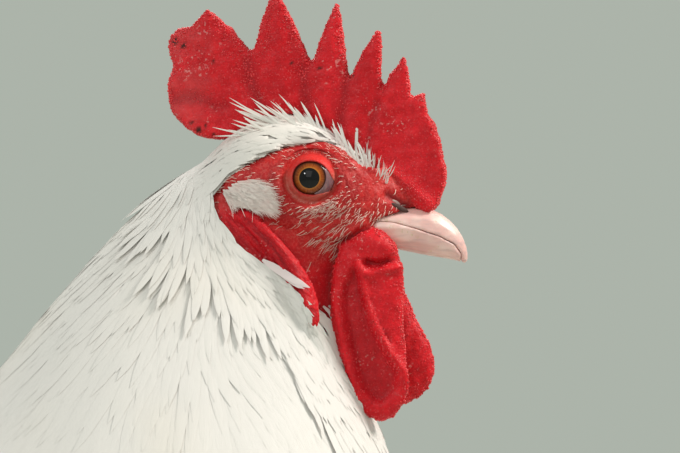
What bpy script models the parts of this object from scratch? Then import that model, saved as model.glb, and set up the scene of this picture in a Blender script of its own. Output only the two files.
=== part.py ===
"""A white single-combed rooster, life size, standing still.

Metres, +Z up.  The bird faces +X and its right side is -Y.  Every solid reaches out to the tips
of the feathers, so together they give the outline of the living bird.  The flesh of the head is
bare (comb, face, lobes, wattles); the rest is coat, apart from the scaled shanks and toes.
"""

import bmesh
import bpy
from math import cos, pi, radians, sin
from mathutils import Matrix, Vector

for old in list(bpy.data.objects):
    bpy.data.objects.remove(old)

# ---------------------------------------------------------------- driving sizes
MM = 0.001
GAP = 0.0003                        # clearance between neighbouring solids
EYE = Vector((0.130, 0.0, 0.495))   # midway between the eyes; the head is laid out from here
EYE_RADIUS = 0.0080                 # eyeball
EYE_SPACING = 0.0098                # from the bird's middle to the centre of an eyeball
EYE_FORWARD = 0.0015                # how far ahead of EYE the eyeballs sit
COMB_BASE_HALF = 0.0036             # half the comb's thickness level with the eye
COMB_TAPER = 0.036                  # thickness lost for each metre of height
STANCE = 0.052                      # from the bird's middle to the middle of a foot
HOCK_HEIGHT = 0.118
SHANK_RADIUS = 0.0070
TOE_RADIUS = 0.0050
FOOT_X = -0.006                     # where the shanks meet the feet
HOCK_X = -0.052
WING_COVERT_DEPTH = 0.0100          # how far the wing's coverts stand off the trunk
WING_FLIGHT_DEPTH = 0.0060
SIDES = (("R", -1), ("L", 1))       # right and left of the bird

# ---------------------------------------------------------------- materials
WHITE = ("coat_white", (0.86, 0.84, 0.79, 1), 0.75)
RED = ("bare_red", (0.62, 0.03, 0.04, 1), 0.45)
FACE = ("face_red", (0.60, 0.10, 0.09, 1), 0.55)
HORN = ("beak_horn", (0.83, 0.66, 0.60, 1), 0.35)
IRIS = ("eye_amber", (0.55, 0.20, 0.03, 1), 0.10)
SCALE = ("leg_scale", (0.80, 0.66, 0.58, 1), 0.50)
CLAW = ("claw_horn", (0.74, 0.66, 0.58, 1), 0.35)


def new_collection(name, hidden=False):
    made = bpy.data.collections.new(name)
    bpy.context.scene.collection.children.link(made)
    made.hide_render = hidden
    return made


def material(spec):
    name, colour, roughness = spec
    made = bpy.data.materials.get(name)
    if made is None:
        made = bpy.data.materials.new(name)
        made.use_nodes = True
        shader = made.node_tree.nodes["Principled BSDF"]
        shader.inputs["Base Color"].default_value = colour
        shader.inputs["Roughness"].default_value = roughness
        shader.inputs["Metallic"].default_value = 0.0
        made.diffuse_color = colour
    return made


PARTS = new_collection("rooster")
CUTTERS = new_collection("cutters", hidden=True)


# ---------------------------------------------------------------- making and cutting solids
def add_object(name, mesh, spec):
    """A new part of the bird with its finish, shaded smooth."""
    mesh.name = name
    mesh.materials.clear()
    mesh.materials.append(material(spec))
    mesh.shade_smooth()
    made = bpy.data.objects.new(name, mesh)
    PARTS.objects.link(made)
    return made


def as_cutter(obj):
    """Turns an object into a hidden cutter."""
    for holder in list(obj.users_collection):
        holder.objects.unlink(obj)
    CUTTERS.objects.link(obj)
    obj.hide_render = True
    obj.display_type = "WIRE"
    return obj


def subdivide(obj):
    smooth = obj.modifiers.new("round", "SUBSURF")
    smooth.levels = smooth.render_levels = 1
    facets = obj.modifiers.new("facets", "TRIANGULATE")
    facets.quad_method = "FIXED"        # so that a swollen copy keeps the same facets
    return obj


def boolean(obj, cutter, operation):
    cut = obj.modifiers.new(operation.lower(), "BOOLEAN")
    cut.operation = operation
    cut.solver = "MANIFOLD"
    cut.object = cutter
    return obj


def uncut_copy(obj, name):
    """A cutter of the same form as obj, before any cuts."""
    copy = as_cutter(bpy.data.objects.new(name, obj.data))
    if "round" in obj.modifiers:
        subdivide(copy)
    return copy


def grown(obj, by=GAP):
    """A cutter of the same form as obj, with its surface moved out."""
    copy = uncut_copy(obj, obj.name + "_grown")
    swell = copy.modifiers.new("swell", "DISPLACE")
    swell.strength = by
    swell.mid_level = 0.0
    return copy


def cut_clear(obj, *neighbours):
    """Cuts obj back from its neighbours, with the usual gap."""
    for neighbour in neighbours:
        boolean(obj, grown(neighbour), "DIFFERENCE")
    return obj


def ring_loft(name, rings, spec):
    """A closed skin over rings of points, each with the same number of points."""
    shape = bmesh.new()
    rows = [[shape.verts.new(point) for point in ring] for ring in rings]
    count = len(rows[0])
    for near, far in zip(rows, rows[1:]):
        for i in range(count):
            j = (i + 1) % count
            shape.faces.new((near[i], near[j], far[j], far[i]))
    shape.faces.new(rows[0])
    shape.faces.new(rows[-1])
    bmesh.ops.recalc_face_normals(shape, faces=shape.faces)
    mesh = bpy.data.meshes.new(name)
    shape.to_mesh(mesh)
    shape.free()
    return add_object(name, mesh, spec)


def oval_ring(one_end, other_end, half_width, around, y=0.0, boxy=1.0):
    """An oval that spans two points (x, z) of the side view; boxy under 1 squares its shoulders."""
    shrink = (2 + cos(2 * pi / around)) / 3      # what one subdivision takes off
    middle = Vector(((one_end[0] + other_end[0]) / 2, y, (one_end[1] + other_end[1]) / 2))
    reach = Vector((one_end[0], y, one_end[1])) - middle
    ring = []
    for i in range(around):
        angle = 2 * pi * i / around
        along, across = cos(angle), sin(angle)
        along = abs(along) ** boxy * (1 if along > 0 else -1)
        across = abs(across) ** boxy * (1 if across > 0 else -1)
        point = reach * along + Vector((0, half_width * across, 0))
        ring.append(middle + point / shrink)
    return ring


def body_loft(name, stations, spec, around=12, y=0.0, boxy=1.0):
    """A soft form from pairs of points on its upper and lower outline, with its half width there."""
    rings = [oval_ring(top, low, wide, around, y, boxy) for top, low, wide in stations]
    return subdivide(ring_loft(name, rings, spec))


def by_eye(along, up):
    """A point (x, z) of the side view, given in millimetres forward of and above the eyes."""
    return EYE.x + along * MM, EYE.z + up * MM


def head_stations(rows):
    return [(by_eye(*top), by_eye(*low), wide * MM) for top, low, wide in rows]


def curve_to_mesh(name, curve, spec, matrix=Matrix()):
    """The mesh of a curve, with its loose caps welded on."""
    helper = bpy.data.objects.new(name + "_curve", curve)
    PARTS.objects.link(helper)
    helper.matrix_world = matrix
    bpy.context.view_layer.update()
    graph = bpy.context.evaluated_depsgraph_get()
    mesh = bpy.data.meshes.new_from_object(helper.evaluated_get(graph))
    mesh.transform(helper.matrix_world)
    shape = bmesh.new()
    shape.from_mesh(mesh)
    bmesh.ops.remove_doubles(shape, verts=shape.verts, dist=1e-5)
    bmesh.ops.recalc_face_normals(shape, faces=shape.faces)
    shape.to_mesh(mesh)
    shape.free()
    bpy.data.objects.remove(helper)
    return add_object(name, mesh, spec)


SIDE_VIEW = Matrix.Rotation(pi / 2, 4, "X")      # lays a flat outline into the XZ plane


def plate(name, outline, half_thickness, spec, y=0.0, resolution=3, handles="AUTO"):
    """A flat closed outline, given as (x, z) points of the side view, with thickness along Y.

    A point may carry its own handles: ((x, z), (left x, left z), (right x, right z))."""
    curve = bpy.data.curves.new(name, "CURVE")
    curve.dimensions = "2D"
    curve.fill_mode = "BOTH"
    curve.extrude = half_thickness
    curve.resolution_u = resolution
    spline = curve.splines.new("BEZIER")
    spline.bezier_points.add(len(outline) - 1)
    for knot, entry in zip(spline.bezier_points, outline):
        if isinstance(entry[0], tuple):
            place, left, right = entry
            knot.handle_left_type = knot.handle_right_type = "FREE"
            knot.co = (*place, 0)
            knot.handle_left = (*left, 0)
            knot.handle_right = (*right, 0)
        else:
            knot.co = (*entry, 0)
            knot.handle_left_type = knot.handle_right_type = handles
    spline.use_cyclic_u = True
    return curve_to_mesh(name, curve, spec, Matrix.Translation((0, y, 0)) @ SIDE_VIEW)


def tube(name, points, radii, spec, resolution=4, sides=2):
    """A tapering round limb through points, with a radius at each."""
    curve = bpy.data.curves.new(name, "CURVE")
    curve.dimensions = "3D"
    curve.bevel_depth = 1.0
    curve.bevel_resolution = sides
    curve.resolution_u = resolution
    curve.use_fill_caps = True
    spline = curve.splines.new("BEZIER")
    spline.bezier_points.add(len(points) - 1)
    for knot, place, radius in zip(spline.bezier_points, points, radii):
        knot.co = place
        knot.radius = radius
        knot.handle_left_type = knot.handle_right_type = "AUTO"
    return curve_to_mesh(name, curve, spec)


def ball(name, centre, radii, spec, segments=16, rings=10):
    shape = bmesh.new()
    bmesh.ops.create_uvsphere(shape, u_segments=segments, v_segments=rings, radius=1.0)
    bmesh.ops.scale(shape, vec=radii, verts=shape.verts)
    bmesh.ops.translate(shape, vec=centre, verts=shape.verts)
    mesh = bpy.data.meshes.new(name)
    shape.to_mesh(mesh)
    shape.free()
    return add_object(name, mesh, spec)


def stand_on_floor(obj):
    """Slices off whatever is under the floor, which leaves a small flat to stand on."""
    shape = bmesh.new()
    shape.from_mesh(obj.data)
    everything = shape.verts[:] + shape.edges[:] + shape.faces[:]
    bmesh.ops.bisect_plane(shape, geom=everything, dist=1e-6, plane_co=(0, 0, 0), plane_no=(0, 0, -1),
                           clear_outer=True)
    rim = [edge for edge in shape.edges if edge.is_boundary]
    bmesh.ops.contextual_create(shape, geom=rim)
    bmesh.ops.recalc_face_normals(shape, faces=shape.faces)
    shape.to_mesh(obj.data)
    shape.free()
    return obj


# ---------------------------------------------------------------- head
# Skull and bare face, from the nape to the nostrils.  (top, bottom, half width)
HEAD = head_stations((
    ((-31, 5), (-30, -8), 8),
    ((-24, 10), (-23, -18), 14.6),
    ((-10, 13.5), (-9, -23), 17.0),
    ((4, 14), (5, -25), 16.4),
    ((15, 9.5), (15, -23.5), 13.4),
    ((25, 2), (24, -20.5), 8.8),
    ((35, -7), (33, -17.5), 4.2),
))
# Crown feathers: a cap whose widest line is the brow line, drawn up round the foot of the comb.
CROWN = head_stations((
    ((-31, 9), (-30, 0), 9),
    ((-20, 16), (-20, 0), 13.6),
    ((-6, 22.5), (-6, 3), 13.0),
    ((9, 14.5), (9, 2), 9.2),
    ((22, 1), (20, -6), 4.4),
))
skull = body_loft("head", HEAD, FACE, around=8)
crown = body_loft("crown", CROWN, WHITE, around=8)
whole_head = uncut_copy(skull, "whole_head")

# Eyes: amber balls let into the sides of the head.
eyes = []
for tag, side in SIDES:
    centre = EYE + Vector((EYE_FORWARD, side * EYE_SPACING, 0))
    eye = ball("eye_" + tag, centre, (EYE_RADIUS,) * 3, IRIS, segments=10, rings=8)
    eyes.append(eye)

# Beak: modelled whole, then parted along the mouth line.  (top, bottom, half width)
BEAK = head_stations((
    ((18, -10), (18, -19.5), 10.2),
    ((24, -9.2), (24, -20.4), 9.4),
    ((31, -8.4), (31, -22), 7.6),
    ((37.5, -9), (37, -23.2), 6.3),
    ((43, -12.6), (42.5, -24), 4.8),
    ((47, -17.6), (46, -24.8), 2.6),
    ((48.6, -24), (47.8, -26.2), 0.7),
))
MOUTH = ((5, -12.4), (17, -12.6), (26.4, -13.3), (33.3, -15.2), (40, -17.4), (44.4, -19.8), (46.3, -22.6))
BELOW_BEAK = -30
PRISM_HALF = 0.03        # half the depth of the prisms that part the beak


def mouth_region(name, drop):
    """Everything below the mouth line, as a cutter; drop moves that line down and back."""
    line = [by_eye(along - drop / MM, up - drop / MM) for along, up in MOUTH]
    under = [by_eye(MOUTH[-1][0] - drop / MM, BELOW_BEAK), by_eye(MOUTH[0][0], BELOW_BEAK)]
    return as_cutter(plate(name, line + under, PRISM_HALF, HORN, resolution=1, handles="VECTOR"))


beak_upper = body_loft("beak_upper", BEAK, HORN, around=6, boxy=0.9)
beak_lower = bpy.data.objects.new("beak_lower", beak_upper.data.copy())
PARTS.objects.link(beak_lower)
subdivide(beak_lower)
whole_beak = uncut_copy(beak_upper, "whole_beak")
boolean(beak_upper, mouth_region("mouth_upper", 0.0), "DIFFERENCE")
boolean(beak_lower, mouth_region("mouth_lower", GAP), "INTERSECT")

# Comb: one upright blade of six points.  Each row is a point's tip and the notch in front of it,
# from the back of the blade to the front, in millimetres from the eye.
COMB_POINTS = (
    ((-31.4, 51.5), (-17.2, 37.6)),
    ((-10.8, 57.9), (0.8, 33.8)),
    ((8.4, 53.4), (11.9, 28.8)),
    ((21.4, 45.8), (21.6, 24.6)),
    ((28.9, 36.8), (31.0, 22.0)),
    ((34.6, 25.9), (36.0, 18.2)),
)
COMB_REAR = ((-16, 9), (-23, 12.2), (-31, 12.6), (-37.5, 16), (-41.8, 21), (-43, 29), (-41.2, 34.3),
             (-43, 40), (-40, 45.6), (-35.6, 46.2))
COMB_FRONT = ((38.4, 15), (40.2, 7), (41.4, 1), (40, -5), (36.6, -9.6), (31, -9.4), (26, -4), (16, 4),
              (2, 8))
TIP_ROUND = 1.5                     # half the width of a point's rounded tip
POINT_FOOT = 14.0                   # how broad a point is where it joins the blade
NOTCH_BEFORE = Vector((-1.2, 2.4))  # handles that round the bottom of a notch
NOTCH_AFTER = Vector((1.0, 1.6))


def knot_by_eye(place, before, after):
    """An outline point with its two handles, all in millimetres from the eye."""
    return by_eye(*place), by_eye(*before), by_eye(*after)


def comb_outline():
    """Round the blade from the back of its foot, over its points, to the front of its foot."""
    outline = [by_eye(*place) for place in COMB_REAR]
    for tip, notch in COMB_POINTS:
        tip, notch = Vector(tip), Vector(notch)
        lean = (tip - notch - Vector((-POINT_FOOT / 2, 0))).normalized()
        across = Vector((lean.y, -lean.x)) * TIP_ROUND
        outline.append(knot_by_eye(tip, tip - across, tip + across))
        outline.append(knot_by_eye(notch, notch + NOTCH_BEFORE, notch + NOTCH_AFTER))
    return outline + [by_eye(*place) for place in COMB_FRONT]


comb = plate("comb", comb_outline(), COMB_BASE_HALF, RED, resolution=2)
for vertex in comb.data.vertices:
    vertex.co.y *= 1 - COMB_TAPER * (vertex.co.z - EYE.z) / COMB_BASE_HALF

# Earlobes: long wrinkled folds behind the cheek.  (upper edge, lower edge, half thickness, how far out)
EARLOBE = (
    ((-22, -6), (-27, -13), 2.4, 15.8),
    ((-11, -15), (-20, -26), 3.3, 17.8),
    ((3, -35), (-7, -40), 3.0, 18.3),
    ((5, -46), (2, -48.5), 1.6, 18.4),
)
# Wattles: hanging leaves, wider than thick; the left one swings a little further forward.
WATTLE_R = (
    ((22, -13), (13, -13), 2.4, 8.8),
    ((31, -26), (8, -26), 3.2, 10.2),
    ((28, -43), (5.5, -42), 3.3, 10.6),
    ((32, -63), (12, -61), 2.9, 10.0),
    ((26, -74.5), (18, -74), 1.6, 9.2),
)
WATTLE_L = (
    ((21, -13), (12, -13), 2.4, 8.8),
    ((25.5, -27), (7, -26), 3.2, 10.2),
    ((31, -43), (8, -40), 3.3, 10.6),
    ((41, -58), (15, -55), 2.9, 10.0),
    ((31, -70), (22, -69), 1.6, 9.2),
)


def leaf(name, rows, side):
    """A flat lobe of flesh that hangs at the side of the head."""
    rings = []
    for (front_x, front_z), (rear_x, rear_z), thick, out in rows:
        ends = by_eye(front_x, front_z), by_eye(rear_x, rear_z)
        rings.append(oval_ring(*ends, thick * MM, 6, y=side * out * MM, boxy=0.9))
    return subdivide(ring_loft(name, rings, RED))


earlobes = [leaf("earlobe_" + tag, EARLOBE, side) for tag, side in SIDES]
wattles = [leaf("wattle_R", WATTLE_R, -1), leaf("wattle_L", WATTLE_L, 1)]

# ---------------------------------------------------------------- hackle, trunk and thighs
# Neck: the hackle cape, from the nape down over the shoulders.  (back line, front line, half width)
NECK = head_stations((
    ((-22, 9), (11, -20), 12.5),
    ((-37, 4), (14, -35), 15.5),
    ((-51, -6), (12, -49), 20),
    ((-71, -26), (17, -67), 32),
    ((-93, -55), (30, -97), 50),
    ((-121, -88), (42, -138), 69),
    ((-157, -104), (46, -174), 82),
    ((-159, -113), (38, -183), 76),
))
neck = body_loft("neck", NECK, WHITE, around=8)

# Trunk: breast, back, saddle and fluff.  (back line, belly line, half width)
TRUNK = (
    ((0.156, 0.360), (0.169, 0.290), 0.034),
    ((0.138, 0.376), (0.156, 0.243), 0.063),
    ((0.096, 0.384), (0.113, 0.202), 0.081),
    ((0.040, 0.384), (0.050, 0.177), 0.090),
    ((-0.025, 0.380), (-0.015, 0.172), 0.092),
    ((-0.085, 0.382), (-0.078, 0.186), 0.087),
    ((-0.135, 0.384), (-0.130, 0.213), 0.077),
    ((-0.175, 0.392), (-0.175, 0.254), 0.062),
    ((-0.205, 0.388), (-0.212, 0.306), 0.032),
)
trunk = body_loft("trunk", TRUNK, WHITE, around=8)

# Thighs: feathered down to the hock.  (front edge, rear edge, half width)
THIGH_OUT = STANCE + 0.003
THIGH = (
    ((0.042, 0.250), (-0.072, 0.244), 0.032),
    ((0.026, 0.192), (-0.076, 0.190), 0.029),
    ((-0.024, 0.138), (-0.069, 0.132), 0.0160),
    ((-0.042, 0.119), (-0.060, 0.116), 0.0088),
)
thighs = {tag: body_loft("thigh_" + tag, THIGH, WHITE, around=8, y=side * THIGH_OUT) for tag, side in SIDES}

# ---------------------------------------------------------------- wings
# Outline of the folded wing in the side view: a shield of coverts, then the flight feathers.
COVERTS = ((0.126, 0.340), (0.112, 0.297), (0.070, 0.266), (0.015, 0.262), (-0.040, 0.286),
           (-0.072, 0.326), (-0.040, 0.364), (0.030, 0.378), (0.092, 0.374))
FLIGHT_UPPER = ((0.050, 0.300), (0.000, 0.345), (-0.075, 0.362), (-0.130, 0.344))
FLIGHT_TIPS = 8
FIRST_TIP = Vector((0.052, 0.243))
WING_TIP = Vector((-0.176, 0.300))
TIP_SAG = 0.016              # how far the row of tips bows down
TIP_STEP = Vector((0.0128, 0.0026))     # from a feather's tip back to the notch beside it
WING_MIDDLE = 0.095          # from the bird's middle to the middle of the prism that a wing is cut from
WING_PRISM_HALF = 0.040


def flight_outline():
    """The flight feathers as one blade, each tip showing past the one above it."""
    rim = []
    for i in range(FLIGHT_TIPS):
        share = 1 - i / (FLIGHT_TIPS - 1)
        tip = FIRST_TIP.lerp(WING_TIP, share) - Vector((0, TIP_SAG * sin(pi * share)))
        rim.append(tuple(tip))
        if i < FLIGHT_TIPS - 1:
            rim.append(tuple(tip + TIP_STEP))
    return list(FLIGHT_UPPER) + rim


def wing_layer(name, outline, side, depth, resolution):
    """The part of a shell round the trunk that lies within an outline."""
    prism = plate(name, outline, WING_PRISM_HALF, WHITE, y=side * WING_MIDDLE, resolution=resolution)
    return boolean(prism, grown(trunk, depth), "INTERSECT")


for tag, side in SIDES:
    flights = wing_layer("wing_flights_" + tag, flight_outline(), side, WING_FLIGHT_DEPTH, 1)
    coverts = wing_layer("wing_coverts_" + tag, COVERTS, side, WING_COVERT_DEPTH, 2)
    cut_clear(flights, trunk, neck)
    hole = as_cutter(plate("covert_hole_" + tag, COVERTS, WING_PRISM_HALF + MM, WHITE, side * WING_MIDDLE, 2))
    boolean(flights, hole, "DIFFERENCE")
    cut_clear(coverts, trunk, neck)

# ---------------------------------------------------------------- tail
TAIL_ROOT = Vector((-0.178, 0.0, 0.350))
TAIL_COVERTS = (
    ((-0.150, 0.388), (-0.152, 0.288), 0.052),
    ((-0.192, 0.412), (-0.204, 0.304), 0.050),
    ((-0.230, 0.452), (-0.262, 0.338), 0.040),
    ((-0.264, 0.478), (-0.304, 0.398), 0.018),
)
tail_coverts = body_loft("tail_coverts", TAIL_COVERTS, WHITE, around=8)

# Main tail: a tent of two fans, each feather's tip a lobe of its outer edge.
FAN_FEATHERS = 7
FAN_LOW, FAN_HIGH = 12, 68      # degrees above the horizontal, looking back
FAN_SHORT, FAN_LONG = 0.142, 0.176
FAN_HALF_THICKNESS = 0.0012
FAN_TENT = 0.32                 # how fast each fan spreads out below its top edge
FAN_APART = 0.0020              # half the gap between the two fans along the top
FAN_TIP = ((-0.22, 0.995), (0.22, 0.995), (0.5, 0.955))     # two shoulders of a lobe, and the notch after it


def fan_outline():
    """Feather tips as round lobes on an arc about the tail's root."""
    step = (FAN_HIGH - FAN_LOW) / (FAN_FEATHERS - 1)
    outline = [(TAIL_ROOT.x + 0.004, TAIL_ROOT.z - 0.012)]
    for i in range(FAN_FEATHERS):
        reach = FAN_SHORT + (FAN_LONG - FAN_SHORT) * i / (FAN_FEATHERS - 1)
        for turn, part in FAN_TIP:
            angle = radians(FAN_LOW + step * (i + turn))
            outline.append((TAIL_ROOT.x - reach * part * cos(angle), TAIL_ROOT.z + reach * part * sin(angle)))
    outline.append((TAIL_ROOT.x + 0.010, TAIL_ROOT.z + 0.014))
    return outline


def tent(mesh, side):
    """Leans a flat fan outwards below the line of its topmost feather."""
    high = radians(FAN_HIGH + 6)      # just past the topmost feather
    ridge = Vector((-cos(high), 0, sin(high)))
    for vertex in mesh.vertices:
        arm = vertex.co - TAIL_ROOT
        below = (arm - ridge * arm.dot(ridge)).length
        vertex.co.y += side * (FAN_APART + FAN_TENT * below)


fans = []
for tag, side in SIDES:
    fan = plate("tail_fan_" + tag, fan_outline(), FAN_HALF_THICKNESS, WHITE, resolution=1)
    tent(fan.data, side)
    fans.append(fan)

# Sickles: long arched feathers over the fans.
# (length, angle at the root, angle at the tip, half width, distance out, root in the side view)
SICKLES = (
    (0.252, 76, -48, 0.0130, 0.0150, (-0.205, 0.412)),
    (0.205, 62, -50, 0.0120, 0.0280, (-0.208, 0.402)),
    (0.168, 46, -54, 0.0110, 0.0385, (-0.202, 0.382)),
    (0.130, 28, -60, 0.0100, 0.0460, (-0.192, 0.360)),
)
SICKLE_HALF_THICKNESS = 0.0013
SICKLE_STEPS = 9
SICKLE_SPREAD = 0.05            # how fast it moves outwards
SICKLE_TIP = 0.0008             # half its width at the very end


def sickle(name, side, length, start, end, half_width, out, root):
    """A feather blade that springs up and back, arches over, and droops to a point."""
    place = Vector((root[0], side * out, root[1]))
    outward = Vector((0, side * SICKLE_HALF_THICKNESS, 0))
    rings = []
    for i in range(SICKLE_STEPS + 1):
        share = i / SICKLE_STEPS
        angle = radians(start + (end - start) * share ** 1.15)
        ahead = Vector((-cos(angle), side * SICKLE_SPREAD, sin(angle)))
        wide = half_width * min(1.0, 0.45 + 1.9 * share) * (1 - share ** 4) + SICKLE_TIP
        across = Vector((sin(angle), 0, cos(angle))) * wide
        rings.append([place + across, place + outward, place - across, place - outward])
        place = place + ahead * (length / SICKLE_STEPS)
    return ring_loft(name, rings, WHITE)


sickles = []
for tag, side in SIDES:
    for number, sizes in enumerate(SICKLES, 1):
        sickles.append(sickle(f"sickle_{tag}_{number}", side, *sizes))

# ---------------------------------------------------------------- legs
# (name, degrees from straight ahead with outwards positive, length, claw length)
TOES = (
    ("middle", 4, 0.064, 0.017),
    ("inner", -36, 0.047, 0.015),
    ("outer", 40, 0.049, 0.014),
    ("hind", 172, 0.030, 0.012),
)
TOE_WIDTHS = (TOE_RADIUS * 1.08, TOE_RADIUS * 0.96, TOE_RADIUS * 0.80)
TOE_RISE = TOE_RADIUS * 0.84        # height of a toe's middle line, so that it rests on a flat
CLAW_WIDTHS = (0.0029, 0.0023, 0.0006)
PAD_RADII = (0.0125, 0.0120, 0.0085)
PAD_HEIGHT = 0.0065
SHANK_WIDTHS = (0.0080, 0.0085, SHANK_RADIUS, SHANK_RADIUS, SHANK_RADIUS * 1.1)
SPUR_LENGTH = 0.017
SPUR_WIDTHS = (0.0040, 0.0028, 0.0007)
UP = Vector((0, 0, 1))


def toe_with_claw(place, side, name, turn, length, claw_length, tag):
    """A toe that lies on the floor, and the claw that springs from its end and comes down again."""
    heading = radians(turn)
    ahead = Vector((cos(heading), side * sin(heading), 0))
    line = []
    for share, lift in ((0.07, 0.0030), (0.5, 0.0010), (1.0, -0.0006)):
        line.append(place + ahead * length * share + UP * (TOE_RISE + lift))
    toe = stand_on_floor(tube(f"toe_{name}_{tag}", line, TOE_WIDTHS, SCALE, resolution=2, sides=1))
    tip = line[-1]
    nail = (
        tip - ahead * 0.003 + UP * 0.0006,
        tip + ahead * claw_length * 0.45 + UP * 0.0016,
        tip + ahead * claw_length + UP * (0.0006 - TOE_RISE * 0.82),
    )
    claw = stand_on_floor(tube(f"claw_{name}_{tag}", nail, CLAW_WIDTHS, CLAW, resolution=1, sides=1))
    cut_clear(claw, toe)
    return toe


def leg(tag, side):
    """Shank, ball of the foot, toes, claws and spur of one leg."""
    place = Vector((FOOT_X, side * STANCE, 0))
    hock = Vector((HOCK_X, side * (STANCE + 0.002), HOCK_HEIGHT))
    ankle = place + Vector((-0.004, 0, 0.016))
    down = ankle - hock
    end = ankle + Vector((0.003, 0, -0.007))
    line = (hock - down * 0.09, hock, hock + down * 0.3, hock + down * 0.8, end)
    shank = tube("shank_" + tag, line, SHANK_WIDTHS, SCALE, resolution=2, sides=1)
    pad = stand_on_floor(ball("foot_" + tag, place + UP * PAD_HEIGHT, PAD_RADII, SCALE, 10, 6))
    cut_clear(shank, pad)
    beside = [pad, shank]
    for name, turn, length, claw_length in TOES:
        toe = toe_with_claw(place, side, name, turn, length, claw_length, tag)
        cut_clear(toe, *beside)
        if name == "middle":
            beside.append(toe)
    root = hock + down * 0.66
    tip = root + Vector((-0.75, -side * 0.60, 0.16)) * (SPUR_LENGTH + SHANK_RADIUS)
    bend = root.lerp(tip, 0.6) - UP * MM
    spur = tube("spur_" + tag, (root, bend, tip), SPUR_WIDTHS, CLAW, resolution=1, sides=1)
    cut_clear(spur, shank)
    cut_clear(thighs[tag], shank, trunk)


for tag, side in SIDES:
    leg(tag, side)

# ---------------------------------------------------------------- parting the neighbours
boolean(skull, grown(whole_beak), "DIFFERENCE")
cut_clear(skull, *eyes)
head_zone = grown(whole_head)
for part in (crown, comb, neck, *earlobes, *wattles):
    boolean(part, head_zone, "DIFFERENCE")
cut_clear(comb, crown)
cut_clear(neck, crown, comb)
for part in (comb, *wattles):
    boolean(part, grown(whole_beak), "DIFFERENCE")
for part in (trunk, *earlobes, *wattles):
    cut_clear(part, neck)
cut_clear(tail_coverts, trunk)
for feather in fans + sickles:
    cut_clear(feather, tail_coverts, trunk)


# ---------------------------------------------------------------- origin
def centre_on_floor():
    """Hangs every part from one empty, so that the middle of the bird's base is the origin."""
    bpy.context.view_layer.update()
    graph = bpy.context.evaluated_depsgraph_get()
    low, high = 1e9, -1e9
    for part in PARTS.objects:
        for corner in part.evaluated_get(graph).bound_box:
            low = min(low, corner[0])
            high = max(high, corner[0])
    holder = bpy.data.objects.new("stance", None)
    PARTS.objects.link(holder)
    for part in list(PARTS.objects) + list(CUTTERS.objects):
        if part != holder:
            part.parent = holder
    holder.location.x = -(low + high) / 2


centre_on_floor()
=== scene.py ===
from math import cos, exp, pi, radians, sin

import bmesh
import bpy
import numpy as np
from mathutils import Matrix, Vector
from mathutils.bvhtree import BVHTree
from mathutils.interpolate import poly_3d_calc


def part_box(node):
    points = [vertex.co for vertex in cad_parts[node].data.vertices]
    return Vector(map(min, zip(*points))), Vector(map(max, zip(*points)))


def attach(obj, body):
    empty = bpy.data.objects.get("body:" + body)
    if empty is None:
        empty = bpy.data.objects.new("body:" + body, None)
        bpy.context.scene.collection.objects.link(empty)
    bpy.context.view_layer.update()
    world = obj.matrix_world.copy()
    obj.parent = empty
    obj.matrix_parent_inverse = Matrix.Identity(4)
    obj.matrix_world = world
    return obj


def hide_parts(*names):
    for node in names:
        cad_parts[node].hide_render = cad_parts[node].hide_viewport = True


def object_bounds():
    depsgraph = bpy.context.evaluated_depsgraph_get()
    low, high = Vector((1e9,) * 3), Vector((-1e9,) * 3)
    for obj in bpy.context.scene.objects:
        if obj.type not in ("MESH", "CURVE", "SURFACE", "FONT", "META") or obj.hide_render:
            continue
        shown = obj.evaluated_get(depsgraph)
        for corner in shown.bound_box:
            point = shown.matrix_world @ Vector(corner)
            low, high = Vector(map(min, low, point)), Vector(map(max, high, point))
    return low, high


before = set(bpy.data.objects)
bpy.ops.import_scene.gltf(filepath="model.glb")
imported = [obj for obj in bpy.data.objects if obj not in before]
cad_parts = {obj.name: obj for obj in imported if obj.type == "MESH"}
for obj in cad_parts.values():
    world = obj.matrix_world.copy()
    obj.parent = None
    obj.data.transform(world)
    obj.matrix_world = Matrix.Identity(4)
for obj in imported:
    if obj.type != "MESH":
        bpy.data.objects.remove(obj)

cad_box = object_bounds()

# ------------------------------------------------------------------ where it is seen from
# The bird stands a little more than a metre from a long lens, which looks level at its head from
# the right and slightly from the front.
MM = 0.001
EYE_LOW, EYE_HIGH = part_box("eye_R")
EYE = (EYE_LOW + EYE_HIGH) / 2                      # centre of the right eyeball
EYE_RADIUS = (EYE_HIGH.x - EYE_LOW.x) / 2
LENS_TURN = radians(5)                              # towards the bird's front
LENS_DISTANCE = 1.2
VIEW_WIDTH = 0.204                                  # what the lens takes in at that distance
SENSOR = 36.0
to_right = Vector((cos(LENS_TURN), sin(LENS_TURN), 0))
look = Vector((-sin(LENS_TURN), cos(LENS_TURN), 0))
aim = Vector((EYE.x, EYE_LOW.y, EYE.z)) + to_right * 0.0093 - Vector((0, 0, 0.01455))


def placed(name, data):
    """A new object in the scene, of the name given."""
    obj = bpy.data.objects.new(name, data)
    bpy.context.scene.collection.objects.link(obj)
    return obj


lens = bpy.data.cameras.new("lens")
lens.sensor_width = SENSOR
lens.lens = SENSOR * LENS_DISTANCE / VIEW_WIDTH
lens.clip_start, lens.clip_end = 0.05, 100
camera = placed("camera", lens)
camera.location = aim - look * LENS_DISTANCE
camera.rotation_euler = (pi / 2, 0, LENS_TURN)
bpy.context.scene.camera = camera
bpy.context.scene.view_settings.view_transform = "Standard"


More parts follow.
